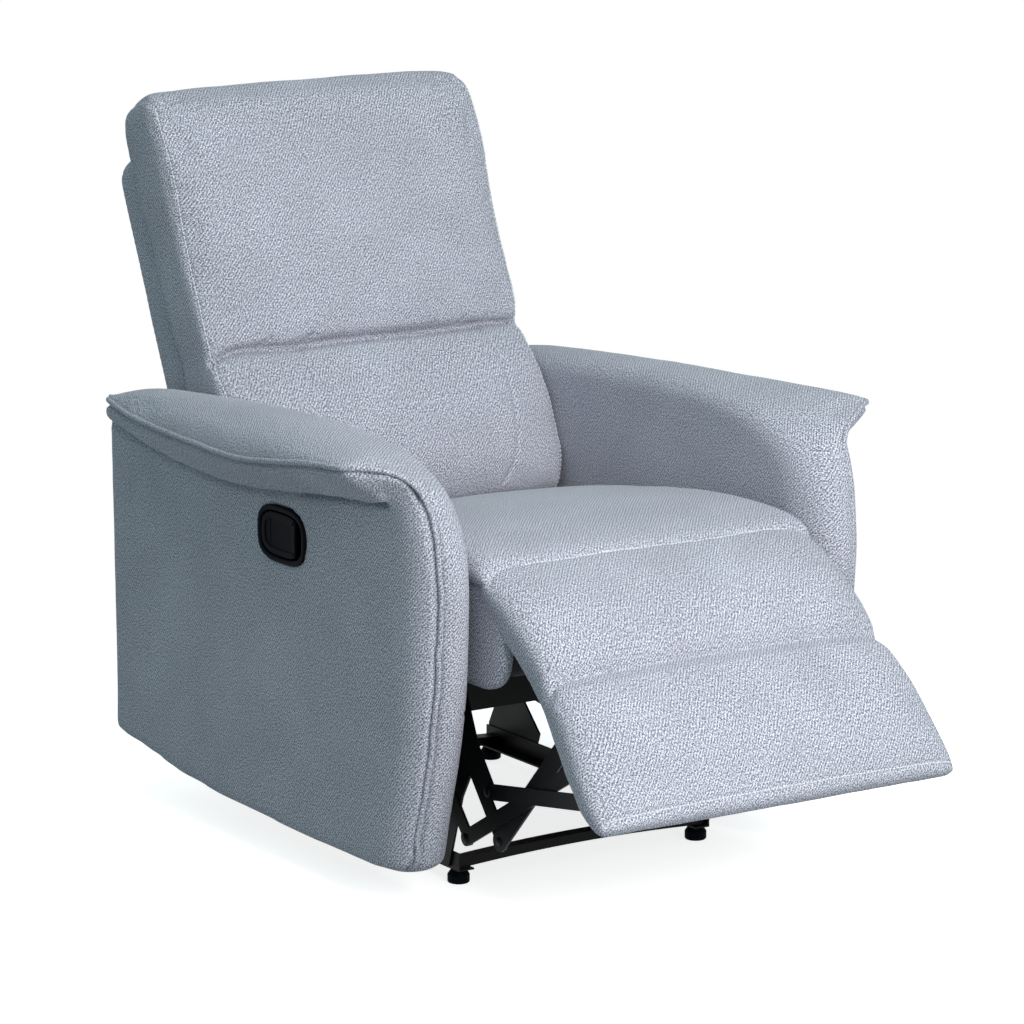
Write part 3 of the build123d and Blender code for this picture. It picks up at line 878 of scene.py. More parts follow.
# seams of the back cushion: x, s and t
CREASE = ((-270, 255, 78), (-244, 260, 84), (-210, 262, 85), (-182, 260, 83), (-150, 257, 81),
          (-120, 257, 80), (-85, 258, 80), (-17, 258, 80), (52, 257, 80), (121, 258, 80), (160, 259, 81),
          (193, 261, 82), (240, 262, 82), (270, 262, 78))
TUCKS = ((-184, 0.009), (-112, 0.010), (-60, 0.004), (96, 0.004), (150, 0.009), (196, 0.007))   # x, depth
DART_LEFT = ((182, 256, 88), (190, 231, 104), (192, 187, 124), (187, 138, 134), (182, 100, 136),
             (175, 63, 134), (166, 36, 128), (151, 11, 118))
DART_RIGHT = ((-134, 262, 84), (-132, 248, 94), (-136, 212, 116), (-137, 174, 130), (-134, 135, 136),
              (-127, 96, 137), (-118, 40, 131), (-110, 6, 119))
BOXING_HALF = (262, 266, 270, 271, 270, 269, 268, 266, 269, 271, 272, 274, 275, 275, 271)
CORNER = ((270, 634, 82), (266, 644, 68), (262, 652, 46), (258, 656, 20), (260, 652, -6))
GATHERS = (((266, 635, 84), (244, 644, 82), (222, 650, 78)),
           ((266, 630, 86), (236, 632, 93), (206, 628, 98)),
           ((266, 622, 87), (240, 616, 95)), ((268, 560, 91), (242, 556, 99)),
           ((268, 500, 90), (238, 494, 99)), ((268, 452, 83), (246, 446, 93)))


def back_seams() -> list[Seam]:
    """Crease, darts, side bands and gathers of the back cushion."""
    crease = on_back(CREASE)
    seams = [Seam("crease", crease, 0.014, 0.005, 0.0014), Seam("crease_fine", crease, 0.0055, 0.012)]
    for n, (x, deep) in enumerate(TUCKS):
        pull = on_back(((x - 7, 259, 80), (x, 262, 83), (x + 9, 272, 94)))
        seams.append(Seam(f"tuck_{n}", pull, 0.008, deep * 0.45))
    seams.append(Seam("dart_left", on_back(DART_LEFT), 0.007, 0.0030))
    seams.append(Seam("dart_right", on_back(DART_RIGHT), 0.007, 0.0026))
    for side in (-1, 1):
        word = side_word(side)
        edge = on_back([(x, s, t + 1) for (s, t), x in zip(BOXING[:-2], BOXING_HALF)], side)
        seams.append(Seam(f"thread_back_{word}", edge, 0.006, 0.0014, 0.0010, thread=True, stitch=0.0068))
        seams.append(Seam(f"corner_{word}", on_back(CORNER, side), 0.008, 0.0028))
        for n, line in enumerate(GATHERS):
            deep = 0.0032 if n < 2 else 0.0020
            seams.append(Seam(f"gather_{n}_{word}", on_back(line, side), 0.010, deep))
        rear = on_back([(274, s, -17) for s in range(20, 570, 30)], side)
        seams.append(Seam(f"rear_{word}", rear, 0.008, 0.0045))
    return seams


@dataclass
class BackShell(SoftPiece):
    """Padded outer back that wraps round the posts."""

    half: float = 264.0
    top: float = 600.0
    corner: float = 40.0
    # inset and t of each loop: round the outside, then back down the inside
    outer: tuple = ((9, -83.5), (3, -82), (0.5, -77), (0, -70), (0, -50), (0, -30), (0, -18), (2, -12),
                    (6, -9))
    inner: tuple = ((9, -12), (7.5, -24), (7.5, -40), (7.5, -55), (9, -66.5))

    def loop(self, inset: float, t: float) -> list[Vector]:
        """Rounded outline of the back at one depth, pulled in by an inset."""
        half, top, r = self.half - inset, self.top - inset, self.corner
        angles = np.linspace(0, math.pi / 2, 9)
        turn = [(half - r + r * math.cos(a), top - r + r * math.sin(a)) for a in angles]
        points = [(half * w, -2) for w in (-1, -0.5, 0, 0.5, 1)]
        points += [(half, s) for s in np.linspace(40, top - r - 10, 16)] + turn
        points += [(x, top) for x in np.linspace(half - r - 15, -half + r + 15, 12)]
        points += [(-x, s) for x, s in turn[::-1]]
        points += [(-half, s) for s in np.linspace(top - r - 10, 40, 16)]
        return [reclined(x, s, t) for x, s in points]

    def rough(self) -> bpy.types.Object:
        """Tray: rear panel with its sides and top turned forwards."""
        return loft(self.name, [self.loop(inset, t) for inset, t in self.outer + self.inner])


def shell_seams() -> list[Seam]:
    """Boxing seams round the outer back."""
    rim = ((263, 4), (263, 200), (263, 400), (263, 555), (252, 588), (222, 599), (100, 599), (0, 599))
    rows = [(x, s, -80) for x, s in rim]
    return [Seam(f"rim_{side_word(side)}", on_back(rows, side), 0.007, 0.0025) for side in (-1, 1)]


# ---------------------------------------------------------------- seat and footrest
@dataclass
class SeatCushion(SoftPiece):
    """Crowned seat cushion that runs on to the footrest pads."""

    # u, top in the middle, top at the sides
    crown: tuple = ((-180, 414, 410), (-166, 426, 420), (-152, 435, 428), (-110, 451, 441), (-60, 465, 452),
                    (0, 479, 461), (72, 489, 473), (143, 496, 485), (213, 500, 494), (282, 502, 499),
                    (329, 500, 499), (363, 495, 495), (384, 489, 489), (392, 486, 486),
                    (398, 479, 479), (404, 468, 468))
    half: tuple = ((-180, 246), (-152, 258), (-130, 265), (0, 267), (300, 271), (392, 274))
    low: float = 402.5

    def rough(self) -> bpy.types.Object:
        """Rings from the rear edge to the front seam."""
        rings = []
        for u in (-180, -176, -166, -152, -140, -125, -100, -60, 0, 60, 120, 180, 240, 290, 330, 360, 380,
                  388, 392, 398, 404):
            top, edge, half = lerp(self.crown, u), lerp(self.crown, u, 2), lerp(self.half, u)
            under = min(458, edge - 14)
            bulge = ((252, under - 26), (254, under - 6), (half - 4, under))
            band = [(min(x, half - 3), max(z, self.low + 2 + k)) for k, (x, z) in enumerate(bulge)]
            ring = [(x * min(252, half - 4), self.low) for x in np.linspace(-1, 1, 13)] + band
            for x in across_front(51):
                dome = top - (top - edge) * x * x
                ring.append((x * half, under + 5 + (dome - under - 5) * (1 - abs(x) ** 26) ** 0.5))
            ring += [(-x, z) for x, z in band[::-1]]
            rings.append([chair(x, u, z) for x, z in ring])
        return loft(self.name, rings)

    def held(self, co: np.ndarray) -> np.ndarray:
        """The top swells away from its ends."""
        u, free = forward(co), np.clip((co[:, 2] - 0.43) / 0.02, 0, 1)
        return free * np.clip((0.385 - u) / 0.06, 0, 1) * np.clip((u + 0.152) / 0.03, 0, 1)


@dataclass
class FootrestCover(SoftPiece):
    """Upper and lower footrest pads in one cover that folds at the seat's front."""

    # along the pads: u, z of the face; padding depth; half width; crown over the edges
    line: tuple = ((388, 487, 40, 269, 2), (396, 484, 58, 270, 4), (410, 477, 66, 271, 8),
                   (435, 465, 68, 271, 12), (465, 448, 70, 271, 15), (500, 426, 70, 271, 16),
                   (532, 402, 68, 272, 13), (553, 383, 66, 273, 9), (566, 368, 62, 274, 3),
                   (579, 357, 64, 275, 9), (600, 338, 66, 278, 15), (630, 308, 66, 283, 19),
                   (664, 268, 62, 289, 20), (690, 236, 54, 293, 17), (708, 214, 42, 294, 10),
                   (719, 202, 28, 293, 3))

    # u and z of the seams across it, metres
    sewn: tuple = ((0.391, 0.482), (0.567, 0.363), (0.716, 0.192))

    def rough(self) -> bpy.types.Object:
        """Rings square to the pads' face."""
        rings = []
        rows = np.array(self.line, float)
        for i, (u, z, deep, half, crown) in enumerate(rows):
            a, b = rows[max(i - 1, 0)], rows[min(i + 1, len(rows) - 1)]
            run = np.array([b[0] - a[0], b[1] - a[1]])
            run /= np.linalg.norm(run)
            out = (0.25, 0.97) if i < 2 else (-run[1], run[0])
            edge = min(24.0, deep * 0.42)
            ring = [(x, -deep) for x in np.linspace(-0.965, 0.965, 21)]
            ring += [(x, -edge + (edge + crown - 6) * (1 - abs(x) ** 9) ** 0.6) for x in across_front(51)]
            rings.append([chair(x * half, u + out[0] * d, z + out[1] * d) for x, d in ring])
        return loft(self.name, rings)

    def held(self, co: np.ndarray) -> np.ndarray:
        """The face swells between its seams."""
        u, z, free = forward(co), co[:, 2], np.ones(len(co))
        for seam_u, seam_z in self.sewn:
            free = np.minimum(free, np.clip(np.hypot(u - seam_u, z - seam_z) / 0.05 - 0.1, 0, 1))
        face = (u - self.sewn[0][0]) * 0.62 + (z - self.sewn[0][1]) * 0.78
        return free * np.clip((face + 0.035) / 0.02, 0, 1)

    def shape(self, obj: bpy.types.Object) -> None:
        """Draw the lower corners into small gathers."""
        co, reach, pull = co_of(obj), 0.016, 0.004
        for side in (-1, 1):
            gap = np.linalg.norm(co - np.array(chair(side * 286, 716, 198)), axis=1)
            co[:, 0] -= side * pull * np.exp(-(gap / reach) ** 2)
        set_co(obj, co)

    def settle(self, obj: bpy.types.Object) -> None:
        """Bake the cover's place into its mesh, leaving it on no body."""
        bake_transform(obj)


def footrest_seams() -> list[Seam]:
    """Front seam of the seat, the channel and the lower hem."""
    front = on_chair(((-270, 408, 468), (-263, 401, 482), (-240, 396, 487), (-209, 396, 489),
                      (-128, 399, 488), (-56, 397, 488), (27, 399, 487), (111, 402, 485), (175, 398, 487),
                      (240, 400, 485), (268, 403, 476)))
    channel = on_chair(((-276, 560, 350), (-270, 566, 366), (-120, 566, 371), (0, 566, 371),
                        (120, 566, 370), (270, 567, 362), (276, 561, 346)))
    hem = on_chair(((-288, 713, 212), (-150, 713, 215), (0, 713, 216), (150, 713, 215), (288, 713, 212)))
    return [Seam("thread_seat_front", front, 0.007, 0.0018, 0.0012, thread=True),
            Seam("channel", channel, 0.022, 0.005, 0.0016), Seam("channel_fine", channel, 0.006, 0.004),
            Seam("thread_hem", hem, 0.008, 0.0022, 0.0008, thread=True)]


@dataclass
class SeatBoxSide(SoftPiece):
    """Covered side of the seat box with its rounded front corner."""

    side: int = 1

    def rough(self) -> bpy.types.Object:
        """Outline of the board, carried across with eased edges."""
        turns = [math.radians(a) for a in range(-90, 1, 10)]
        outline = [(-205, 314), (-100, 314), (100, 314), (300, 314)]
        outline += [(388 + 52 * math.cos(a), 366 + 52 * math.sin(a)) for a in turns]
        outline += [(438, 420), (424, 440), (400, 456), (300, 458), (100, 446), (0, 432), (-100, 416),
                    (-165, 401), (-205, 380)]
        flat = np.array(outline)
        inward = np.array([120, 386]) - flat
        inward /= np.linalg.norm(inward, axis=1, keepdims=True)
        return loft(self.name, [[chair(self.side * x, u, z) for u, z in flat + inward * inset]
                                for x, inset in ((244, 4), (246, 0), (259, 0), (264, 6))])


@dataclass
class CrossSlab(SoftPiece):
    """Covered board across the chair: the seat box's front, or the rear panel."""

    outline: tuple = ()     # u and z
    half: float = 0.0
    slices: int = 8

    def rough(self) -> bpy.types.Object:
        """Outline carried across the chair."""
        places = np.linspace(-self.half, self.half, self.slices)
        return loft(self.name, [[chair(x, u, z) for u, z in self.outline] for x in places])


BOX_FRONT = ((416, 336), (428, 336), (437, 341), (441, 352), (441, 390), (438, 401), (416, 401))
REAR_PANEL = ((-446, 98), (-430, 98), (-430, 330), (-446, 330))


# ---------------------------------------------------------------- arms
# u; top z at x 300, 330, 360, 390; the flare's tip x and z; groove z below it
ARM_TOP = ((-452, 588, 593, 589, 586, 370, 586, 553), (-400, 602, 605, 600, 588, 378, 582, 547),
           (-320, 611, 614, 609, 591, 391, 578, 537), (-236, 618, 621, 616, 601, 402, 579, 530),
           (-152, 624, 627, 622, 609, 409, 580, 526), (-70, 629, 631, 628, 614, 415, 580, 526),
           (11, 632, 634, 632, 620, 421, 582, 532), (90, 633, 636, 635, 627, 426, 591, 542),
           (167, 629, 633, 636, 632, 431, 603, 553), (243, 619, 629, 635, 636, 436, 614, 560),
           (293, 606, 620, 630, 635, 438, 618, 564), (315, 600, 615, 627, 633, 438, 619, 567))
ARM_TOP_X = (300, 330, 360, 390)
# where the top's outline has its points
ARM_TOP_AT = (-440, -400, -360, -320, -280, -236, -194, -152, -110, -70, -30, 11, 50, 90, 128, 167, 205)
# the rolled front and its face: z, u on the sitter's side, u at the piping
SITTER_X, PIPING_X = 300, 345
ARM_FRONT = ((630, 222, 285), (622, 257, 315), (612, 295, 343), (603, 325, 360), (588, 360, 375),
             (560, 393, 390), (528, 414, 400), (490, 425, 405), (440, 429, 408), (365, 426, 403),
             (285, 417, 394), (199, 399, 377), (112, 376, 356), (72, 367, 347))
# where the front's outline has its points, and how far the arm is front rather than top there
ARM_FRONT_AT = ((621, 0.15), (613, 0.3), (604, 0.5), (588, 0.7), (575, 0.85), (560, 1), (544, 1), (528, 1),
                (509, 1), (490, 1), (465, 1), (440, 1), (402, 1), (365, 1), (325, 1), (285, 1), (242, 1),
                (199, 1), (155, 1), (112, 1), (90, 1))
# the underside and the rear: u, z; edges further back than the rear line round off as rear ones
ARM_FOOT = ((330, 57), (240, 55), (120, 55), (0, 56), (-154, 60), (-265, 69), (-350, 82), (-426, 91),
            (-449, 92))
ARM_REAR = ((-448, 114), (-447, 160), (-447, 259), (-449, 407), (-451, 510), (-453, 560))
REAR_LINE = -430
ARM_SLICES = (272.6, 273.2, 275, 279, 285, 293, 302, 312, 322, 334, 345, 349, 353, 356.5, 359.5, 362, 363.8,
              365, 365.7, 366)
# the flare dies away round the front: u; its tip x and z; crown z; groove z
FLARE_END = ((324, 430, 620, 629, 571), (332, 414, 620, 627, 575), (342, 404, 620, 625, 580),
             (352, 395, 619, 623, 586), (360, 387, 617, 620, 591), (367, 374, 612, 614, 596),
             (373, 361, 602, 603, 596))
# the release lever's place
LEVER_U, LEVER_Z = 44.0, 474.0


@dataclass(frozen=True)
class Rounding:
    """How one face of an arm turns into its edges, mm."""

    across: float       # how far in from the face the front rounds over
    fall: float         # how far the front falls back at the face
    reach: float        # how far behind the front that is felt
    rear: float         # radius of the rear edge
    top_across: float   # how far in from the face the top rounds over
    top_fall: float     # how far the top falls at the face
    edge: float = 8.0   # radius of the other plain edges


SITTER_SIDE = Rounding(66, 92, 210, 5, 34, 24)
OUTER_SIDE = Rounding(32, 60, 170, 15, 1, 0)


@dataclass
class ArmCover(SoftPiece):
    """Padded arm: flared top that rolls over into the front panel, with flat sides."""

    side: int = 1
    face_out: float = 366.0
    face_in: float = 272.6

    def roll(self, z: float, x: float) -> float:
        """Forward reach of the front at a height and distance from the middle."""
        rows, w = sorted(ARM_FRONT), self.outward_share(x)
        return lerp(rows, z, 1) * (1 - w) + lerp(rows, z, 2) * w

    def top(self, u: float, x: float) -> float:
        """Height of the arm's top."""
        return lerp([(c, lerp(ARM_TOP, u, k)) for k, c in enumerate(ARM_TOP_X, 1)], x)

    @staticmethod
    def outward_share(x: float) -> float:
        """How far a slice is from the sitter's side, 0, to the piping, 1."""
        return min(max((x - SITTER_X) / (PIPING_X - SITTER_X), 0), 1)

    def outline(self, x: float) -> list[tuple[float, float, float, float]]:
        """Outline of an upright slice: u, z, how far it is front, and how far it is top."""
        rows = [(u, self.top(u, x), 0, 1) for u in ARM_TOP_AT]
        start = 222 + 40 * self.outward_share(x)    # where the top begins to roll over
        high = self.top(start, x)
        rows.append((start, high, 0.1, 0.9))
        rows += [(max(self.roll(z, x), start + 6), min(z, high - 4), share, 1 - share)
                 for z, share in ARM_FRONT_AT]
        rows.append((self.roll(72, x), 70, 0.9, 0))
        rows += [(u, z, 0.3 if u > 300 else 0, 0) for u, z in ARM_FOOT]
        rows += [(u, z, 0, 0) for u, z in ARM_REAR]
        rows.append((-450, self.top(-440, x) - 10, 0, 1))
        return rows

    def block(self) -> bpy.types.Object:
        """Upright body of the arm."""
        rings = []
        for x in ARM_SLICES:
            rows = np.array(self.outline(x), float)
            flat, front, upper = rows[:, :2].copy(), rows[:, 2], rows[:, 3]
            near, far = x - self.face_in, self.face_out - x
            depth, turn = (near, SITTER_SIDE) if near < far else (far, OUTER_SIDE)
            nose = np.array([self.roll(min(max(z, 72), 600), x) for z in flat[:, 1]])
            behind = np.clip((flat[:, 0] - nose + turn.reach) / turn.reach, 0, 1.1)
            flat[:, 0] -= self.ease(depth, turn.across, turn.fall) * behind ** 2
            run = np.roll(flat, -1, 0) - np.roll(flat, 1, 0)
            run /= np.linalg.norm(run, axis=1, keepdims=True).clip(1e-9)
            inward = np.stack([run[:, 1], -run[:, 0]], 1)
            radius = np.where(rows[:, 0] < REAR_LINE, turn.rear, turn.edge)
            inset = np.array([self.ease(depth, r) for r in radius]) * (1 - np.maximum(front, upper))
            inset += self.ease(depth, turn.top_across, turn.top_fall) * upper
            flat += inward * inset[:, None]
            rings.append([chair(self.side * x, u, z) for u, z in flat])
        return loft(self.name + "_body", rings)

    @staticmethod
    def ease(depth: float, across: float, back: float | None = None) -> float:
        """How far a rounded edge falls back at a depth from its face.

        Args:
            depth: distance from the face.
            across: how far the rounding reaches.
            back: how far it falls back in all, as far as it reaches if not given.

        Returns:
            The fall, in the same unit.
        """
        d = min(max(depth, 0), across) / across
        return (across if back is None else back) * (1 - (1 - (1 - d) ** 2) ** 0.5)

    def shape(self, obj: bpy.types.Object) -> None:
        """Sink the pocket that the release lever's dish lies in."""
        if self.side > 0:
            return
        co = co_of(obj)
        half_long, half_tall, skin, bottom = 0.0565, 0.0358, -0.345, -0.349
        along = np.abs(forward(co) - LEVER_U / 1000) / half_long
        up = np.abs(co[:, 2] - LEVER_Z / 1000) / half_tall
        inside = np.clip((1 - (along ** 2.8 + up ** 2.8)) / 0.10, 0, 1) * (co[:, 0] < skin)
        co[:, 0] += (bottom - co[:, 0]) * inside
        set_co(obj, co)

    def flare(self) -> bpy.types.Object:
        """Flared top with its boxing band, tapering back in at the front."""
        rings = []
        for u, z300, z330, z360, z390, tip, high, groove in ARM_TOP:
            nose, out = min(390, tip - 10), tip - self.face_out
            edge = max(z390 - (11 if tip > 420 else 3), high + 10)
            section = ((305, groove - 8), (305, z300 - 6), (330, z330 - 1), (360, min(z360, z330 + 8)),
                       (nose, z390 if tip > 398 else high + 8), (max(nose + 3, tip - 15), edge),
                       (tip - 3, high + 8), (tip, high), (tip - 2, high - 7),
                       (tip - out * 0.25, high - 9 - (high - groove) * 0.25),
                       (self.face_out + out * 0.35, groove + 10), (367, groove + 1), (358, groove - 8))
            rings.append([chair(self.side * x, u, z) for x, z in section])
        for u, tip, high, crown, groove in FLARE_END:
            foot = self.face_out - 14 * min(max((u - 315) / 58, 0), 1) ** 1.5
            out = tip - foot
            section = ((305, groove - 14), (305, crown - 50), (325, crown - 34), (340, crown - 20),
                       (min(380, tip - 18), crown - 4), (tip - 9, crown), (tip - 3, high + 3), (tip, high),
                       (tip - 1, high - 6), (tip - out * 0.25, high - 8 - (high - groove) * 0.25),
                       (foot + out * 0.35, groove + 9), (foot, groove), (foot - 8, groove - 8))
            rings.append([chair(self.side * x, u, z) for x, z in section])
        return loft(self.name + "_flare", rings)

    def rough(self) -> bpy.types.Object:
        """Body and flare together."""
        return join([self.block(), self.flare()], self.name)


# the piping runs along the flare's edge and round its tip, then down the front; x, u and z
PIPING_EDGE = tuple((row[5], row[0], row[6]) for row in ARM_TOP) + (
    (431, 323, 621), (415, 331, 621), (399, 348, 620), (385, 363, 618), (372, 367, 613))
PIPING_FACE = ((362, 371, 603), (355, 379, 586), (350, 393, 557), (347, 400, 528), (345, 405, 483),
               (345, 408, 437), (344, 403, 365), (344, 394, 285), (344, 377, 199), (345, 356, 112),
               (346, 348, 74), (346, 334, 58))


def arm_seams(side: int) -> list[Seam]:
    """Seams pressed into an arm's cover."""
    groove = [(366, row[0] + (8 if row[0] < -440 else 0), row[7]) for row in ARM_TOP]
    deep = [(366, row[0], row[7]) for row in ARM_TOP if row[0] > 50]
    lip = [(374, row[0] + (14 if row[0] < -440 else 0), row[7] + 14) for row in ARM_TOP]
    under = [(x - 2, u, z - 5.5) for x, u, z in PIPING_EDGE]
    under += [(x + 3, u - 3, z - 2) for x, u, z in PIPING_FACE[:2]]
    cross = [(273, 340, 285), (282, 372, 285), (300, 396, 285), (320, 400, 285), (344, 394, 285)]
    slant = [(366, 309, 569), (362, 340, 584), (357, 368, 599)]
    # name, line, width, depth, and how far it wanders
    lines = (("lip", lip, 0.018, -0.004, 0.0012), ("groove", groove, 0.011, 0.006, 0.0012),
             ("groove_fine", groove, 0.006, 0.004), ("groove_deep", deep, 0.0065, 0.009),
             ("under_edge", under, 0.007, 0.0055), ("piping_bed", PIPING_FACE, 0.011, 0.005),
             ("slant", slant, 0.005, 0.0017), ("front_join", cross, 0.005, 0.0016))
    return [Seam(f"{word}_{side_word(side)}", on_chair(rows, side), *sizes) for word, rows, *sizes in lines]


# ---------------------------------------------------------------- release lever
@dataclass
class ReleaseLever:
    """Oval dish in the arm cover and the paddle hinged in it."""

    long: float = 125.0
    tall: float = 80.0
    square: float = 0.66    # exponent of its outline: 1 is an ellipse, less is squarer
    face: float = 369.5     # the dish's outer face, from the middle of the chair
    deep: float = 17.0
    rim: float = 7.5
    sunk: float = 14.0      # how far the dish lies below its rim
    margin: float = 21.0    # how much smaller the paddle is than the dish
    plate_face: float = 368.2
    plate_deep: float = 4.2
    plate_rim: float = 8.0
    plate_sunk: float = 1.6
    plate_end: float = 37.0     # where the paddle is cut off, forwards of its middle
    hinge_x: float = 363.0
    hinge_back: float = 32.0    # how far the hinge lies behind the middle

    def oval(self, name: str, long: float, tall: float, x: float, deep: float) -> bpy.types.Object:
        """Oval block on the arm's outer face.

        Args:
            name: the object's name.
            long: size along the arm, mm.
            tall: height, mm.
            x: outer face, mm from the centre of the chair.
            deep: thickness towards the chair, mm.

        Returns:
            The block, with a slightly squared oval outline.
        """
        bpy.ops.object.select_all(action="DESELECT")
        bpy.ops.mesh.primitive_cylinder_add(vertices=64, radius=1, depth=1, location=(0, 0, 0))
        obj = bpy.context.active_object
        obj.name = obj.data.name = name
        base = chair(0, LEVER_U, LEVER_Z)
        for v in obj.data.vertices:
            a = math.atan2(v.co.y, v.co.x)
            y, z = (math.copysign(abs(c) ** self.square, c) for c in (math.cos(a), math.sin(a)))
            v.co = Vector((-x / 1000 + deep / 1000 * (0.5 - v.co.z), base.y + y * long / 2000,
                           base.z + z * tall / 2000))
        obj.data.update()
        outward(obj)
        return obj

    def hollow(self, obj: bpy.types.Object, rim: float, depth: float) -> None:
        """Sink the outer face inside a rim.

        Args:
            obj: the oval block.
            rim: width of the rim left standing, mm.
            depth: how deep, mm.
        """
        only(obj)
        face = min(obj.data.polygons, key=lambda p: p.center.x)
        for part in (obj.data.polygons, obj.data.edges, obj.data.vertices):
            for item in part:
                item.select = False
        face.select = True
        bpy.ops.object.mode_set(mode="EDIT")
        bpy.ops.mesh.select_mode(type="FACE")
        bpy.ops.mesh.inset(thickness=rim / 1000)
        bpy.ops.mesh.extrude_region_move(TRANSFORM_OT_translate={"value": (depth / 1000, 0, 0)})
        bpy.ops.object.mode_set(mode="OBJECT")

    def housing(self, wardrobe: Wardrobe) -> None:
        """Escutcheon ring with its dish."""
        ring = self.oval("lever_escutcheon", self.long, self.tall, self.face, self.deep)
        self.hollow(ring, self.rim, self.sunk)
        self.bevel(ring, 0.0022, 40)
        self.finish(ring, wardrobe)
        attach(ring, "chair_base")
        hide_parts("lever_housing")

    def paddle(self, wardrobe: Wardrobe) -> None:
        """Paddle cut off at the front to leave room for the fingers, with its hinge barrel."""
        long, tall = self.long - self.margin, self.tall - self.margin
        plate = self.oval("lever_handle", long, tall, self.plate_face, self.plate_deep)
        only(plate)
        bpy.ops.object.mode_set(mode="EDIT")
        bpy.ops.mesh.select_all(action="SELECT")
        front = chair(0, LEVER_U + self.plate_end, LEVER_Z)
        bpy.ops.mesh.bisect(plane_co=front, plane_no=(0, -1, 0), use_fill=True, clear_outer=True)
        bpy.ops.object.mode_set(mode="OBJECT")
        self.hollow(plate, self.plate_rim, self.plate_sunk)
        self.bevel(plate, 0.0013, 35)
        bpy.ops.object.select_all(action="DESELECT")
        hinge = chair(-self.hinge_x, LEVER_U - self.hinge_back, LEVER_Z)
        bpy.ops.mesh.primitive_cylinder_add(vertices=32, radius=0.0045, depth=0.037, location=hinge)
        barrel = bpy.context.active_object
        bpy.ops.object.transform_apply(location=True, rotation=True, scale=True)
        apply_modifier(barrel, "BEVEL", width=0.0007, segments=2, limit_method="ANGLE")
        handle = join([plate, barrel], "lever_handle")
        self.finish(handle, wardrobe)
        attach(handle, "paddle")
        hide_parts("lever_paddle")

    @staticmethod
    def finish(obj: bpy.types.Object, wardrobe: Wardrobe) -> None:
        """Shade its curves smooth and dress it in plastic."""
        only(obj)
        bpy.ops.object.shade_smooth_by_angle(angle=math.radians(40))
        wardrobe.dress(obj, Cloth.PLASTIC)

    @staticmethod
    def bevel(obj: bpy.types.Object, width: float, angle: float) -> None:
        """Round the edges sharper than an angle in degrees by a width in metres."""
        apply_modifier(obj, "BEVEL", width=width, segments=3, limit_method="ANGLE",
                       angle_limit=math.radians(angle))

    def build(self, wardrobe: Wardrobe) -> None:
        """Make both pieces."""
        self.housing(wardrobe)
        self.paddle(wardrobe)
        LOG.info("release lever built")


# ---------------------------------------------------------------- steel
@dataclass
class Rivet:
    """A domed rivet head on the outer end of a pivot pin."""

    name: str
    body: str
    u: float
    z: float
    face: float
    radius: float = 7.5
    rise: float = 2.6

    def build(self, side: int) -> bpy.types.Object:
        """One head on one side of the chair."""
        bpy.ops.object.select_all(action="DESELECT")
        at = chair(side * self.face, self.u, self.z)
        bpy.ops.mesh.primitive_uv_sphere_add(segments=20, ring_count=10, radius=self.radius / 1000,
                                             location=(0, 0, 0))
        head = bpy.context.active_object
        only(head)
        bpy.ops.object.mode_set(mode="EDIT")
        bpy.ops.mesh.select_all(action="SELECT")
        bpy.ops.mesh.bisect(plane_co=(0, 0, 0.0008), plane_no=(0, 0, 1), use_fill=True, clear_inner=True)
        bpy.ops.object.mode_set(mode="OBJECT")
        for v in head.data.vertices:
            x, y, z = v.co
            v.co = Vector((side * (z * self.rise / self.radius), y, x)) + at
        head.data.update()
        outward(head)
        head.name = head.data.name = f"rivet_{self.name}_{side_word(side)}"
        smooth(head)
        return head


class Mechanism:
    """Steel base and linkage: CAD shapes finished, with rivet heads."""

    RIVETS = (Rivet("guide_top", "chair_base", 165, 225, 222.5),
              Rivet("swing_top", "chair_base", 200, 351, 226.5),
              Rivet("lift", "link_drive", 366, 93, 222.5, 6.5, 2.2),
              Rivet("reach", "link_guide", 289, 80, 226.5),
              Rivet("push", "link_swing", 350, 160, 230.5),
              Rivet("foot_high", "footrest", 540, 280, 234.5),
              Rivet("foot_mid", "footrest", 574, 246, 234.5),
              Rivet("foot_low", "footrest", 600, 200, 234.5))
    # the finish of the CAD nodes whose names start like this
    FINISHES = ((("base_rail", "cross_rail", "side_plate", "rear_plate", "linkage_rail", "link_",
                  "footrest_bracket"), Cloth.STEEL),
                ("glide", Cloth.PLASTIC), ("lever_pin", Cloth.PLATED), ("seat_webbing", Cloth.STRAP),
                ("footrest_board", Cloth.DUST),
                (("arm_core", "back_post", "back_rail", "seat_rail"), Cloth.BOARD))

    def build(self, wardrobe: Wardrobe, nodes: dict) -> None:
        """Finish the CAD nodes and add the rivets.

        Args:
            wardrobe: where finishes come from.
            nodes: the CAD nodes by name.
        """
        for name, obj in nodes.items():
            for starts, cloth in self.FINISHES:
                if name.startswith(starts):
                    wardrobe.dress(obj, cloth)
        for rivet in self.RIVETS:
            for side in (-1, 1):
                head = wardrobe.dress(rivet.build(side), Cloth.STEEL)
                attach(head, rivet.body + (f"_{side_word(side)}" if rivet.body.startswith("link_") else ""))
        LOG.info("mechanism finished")


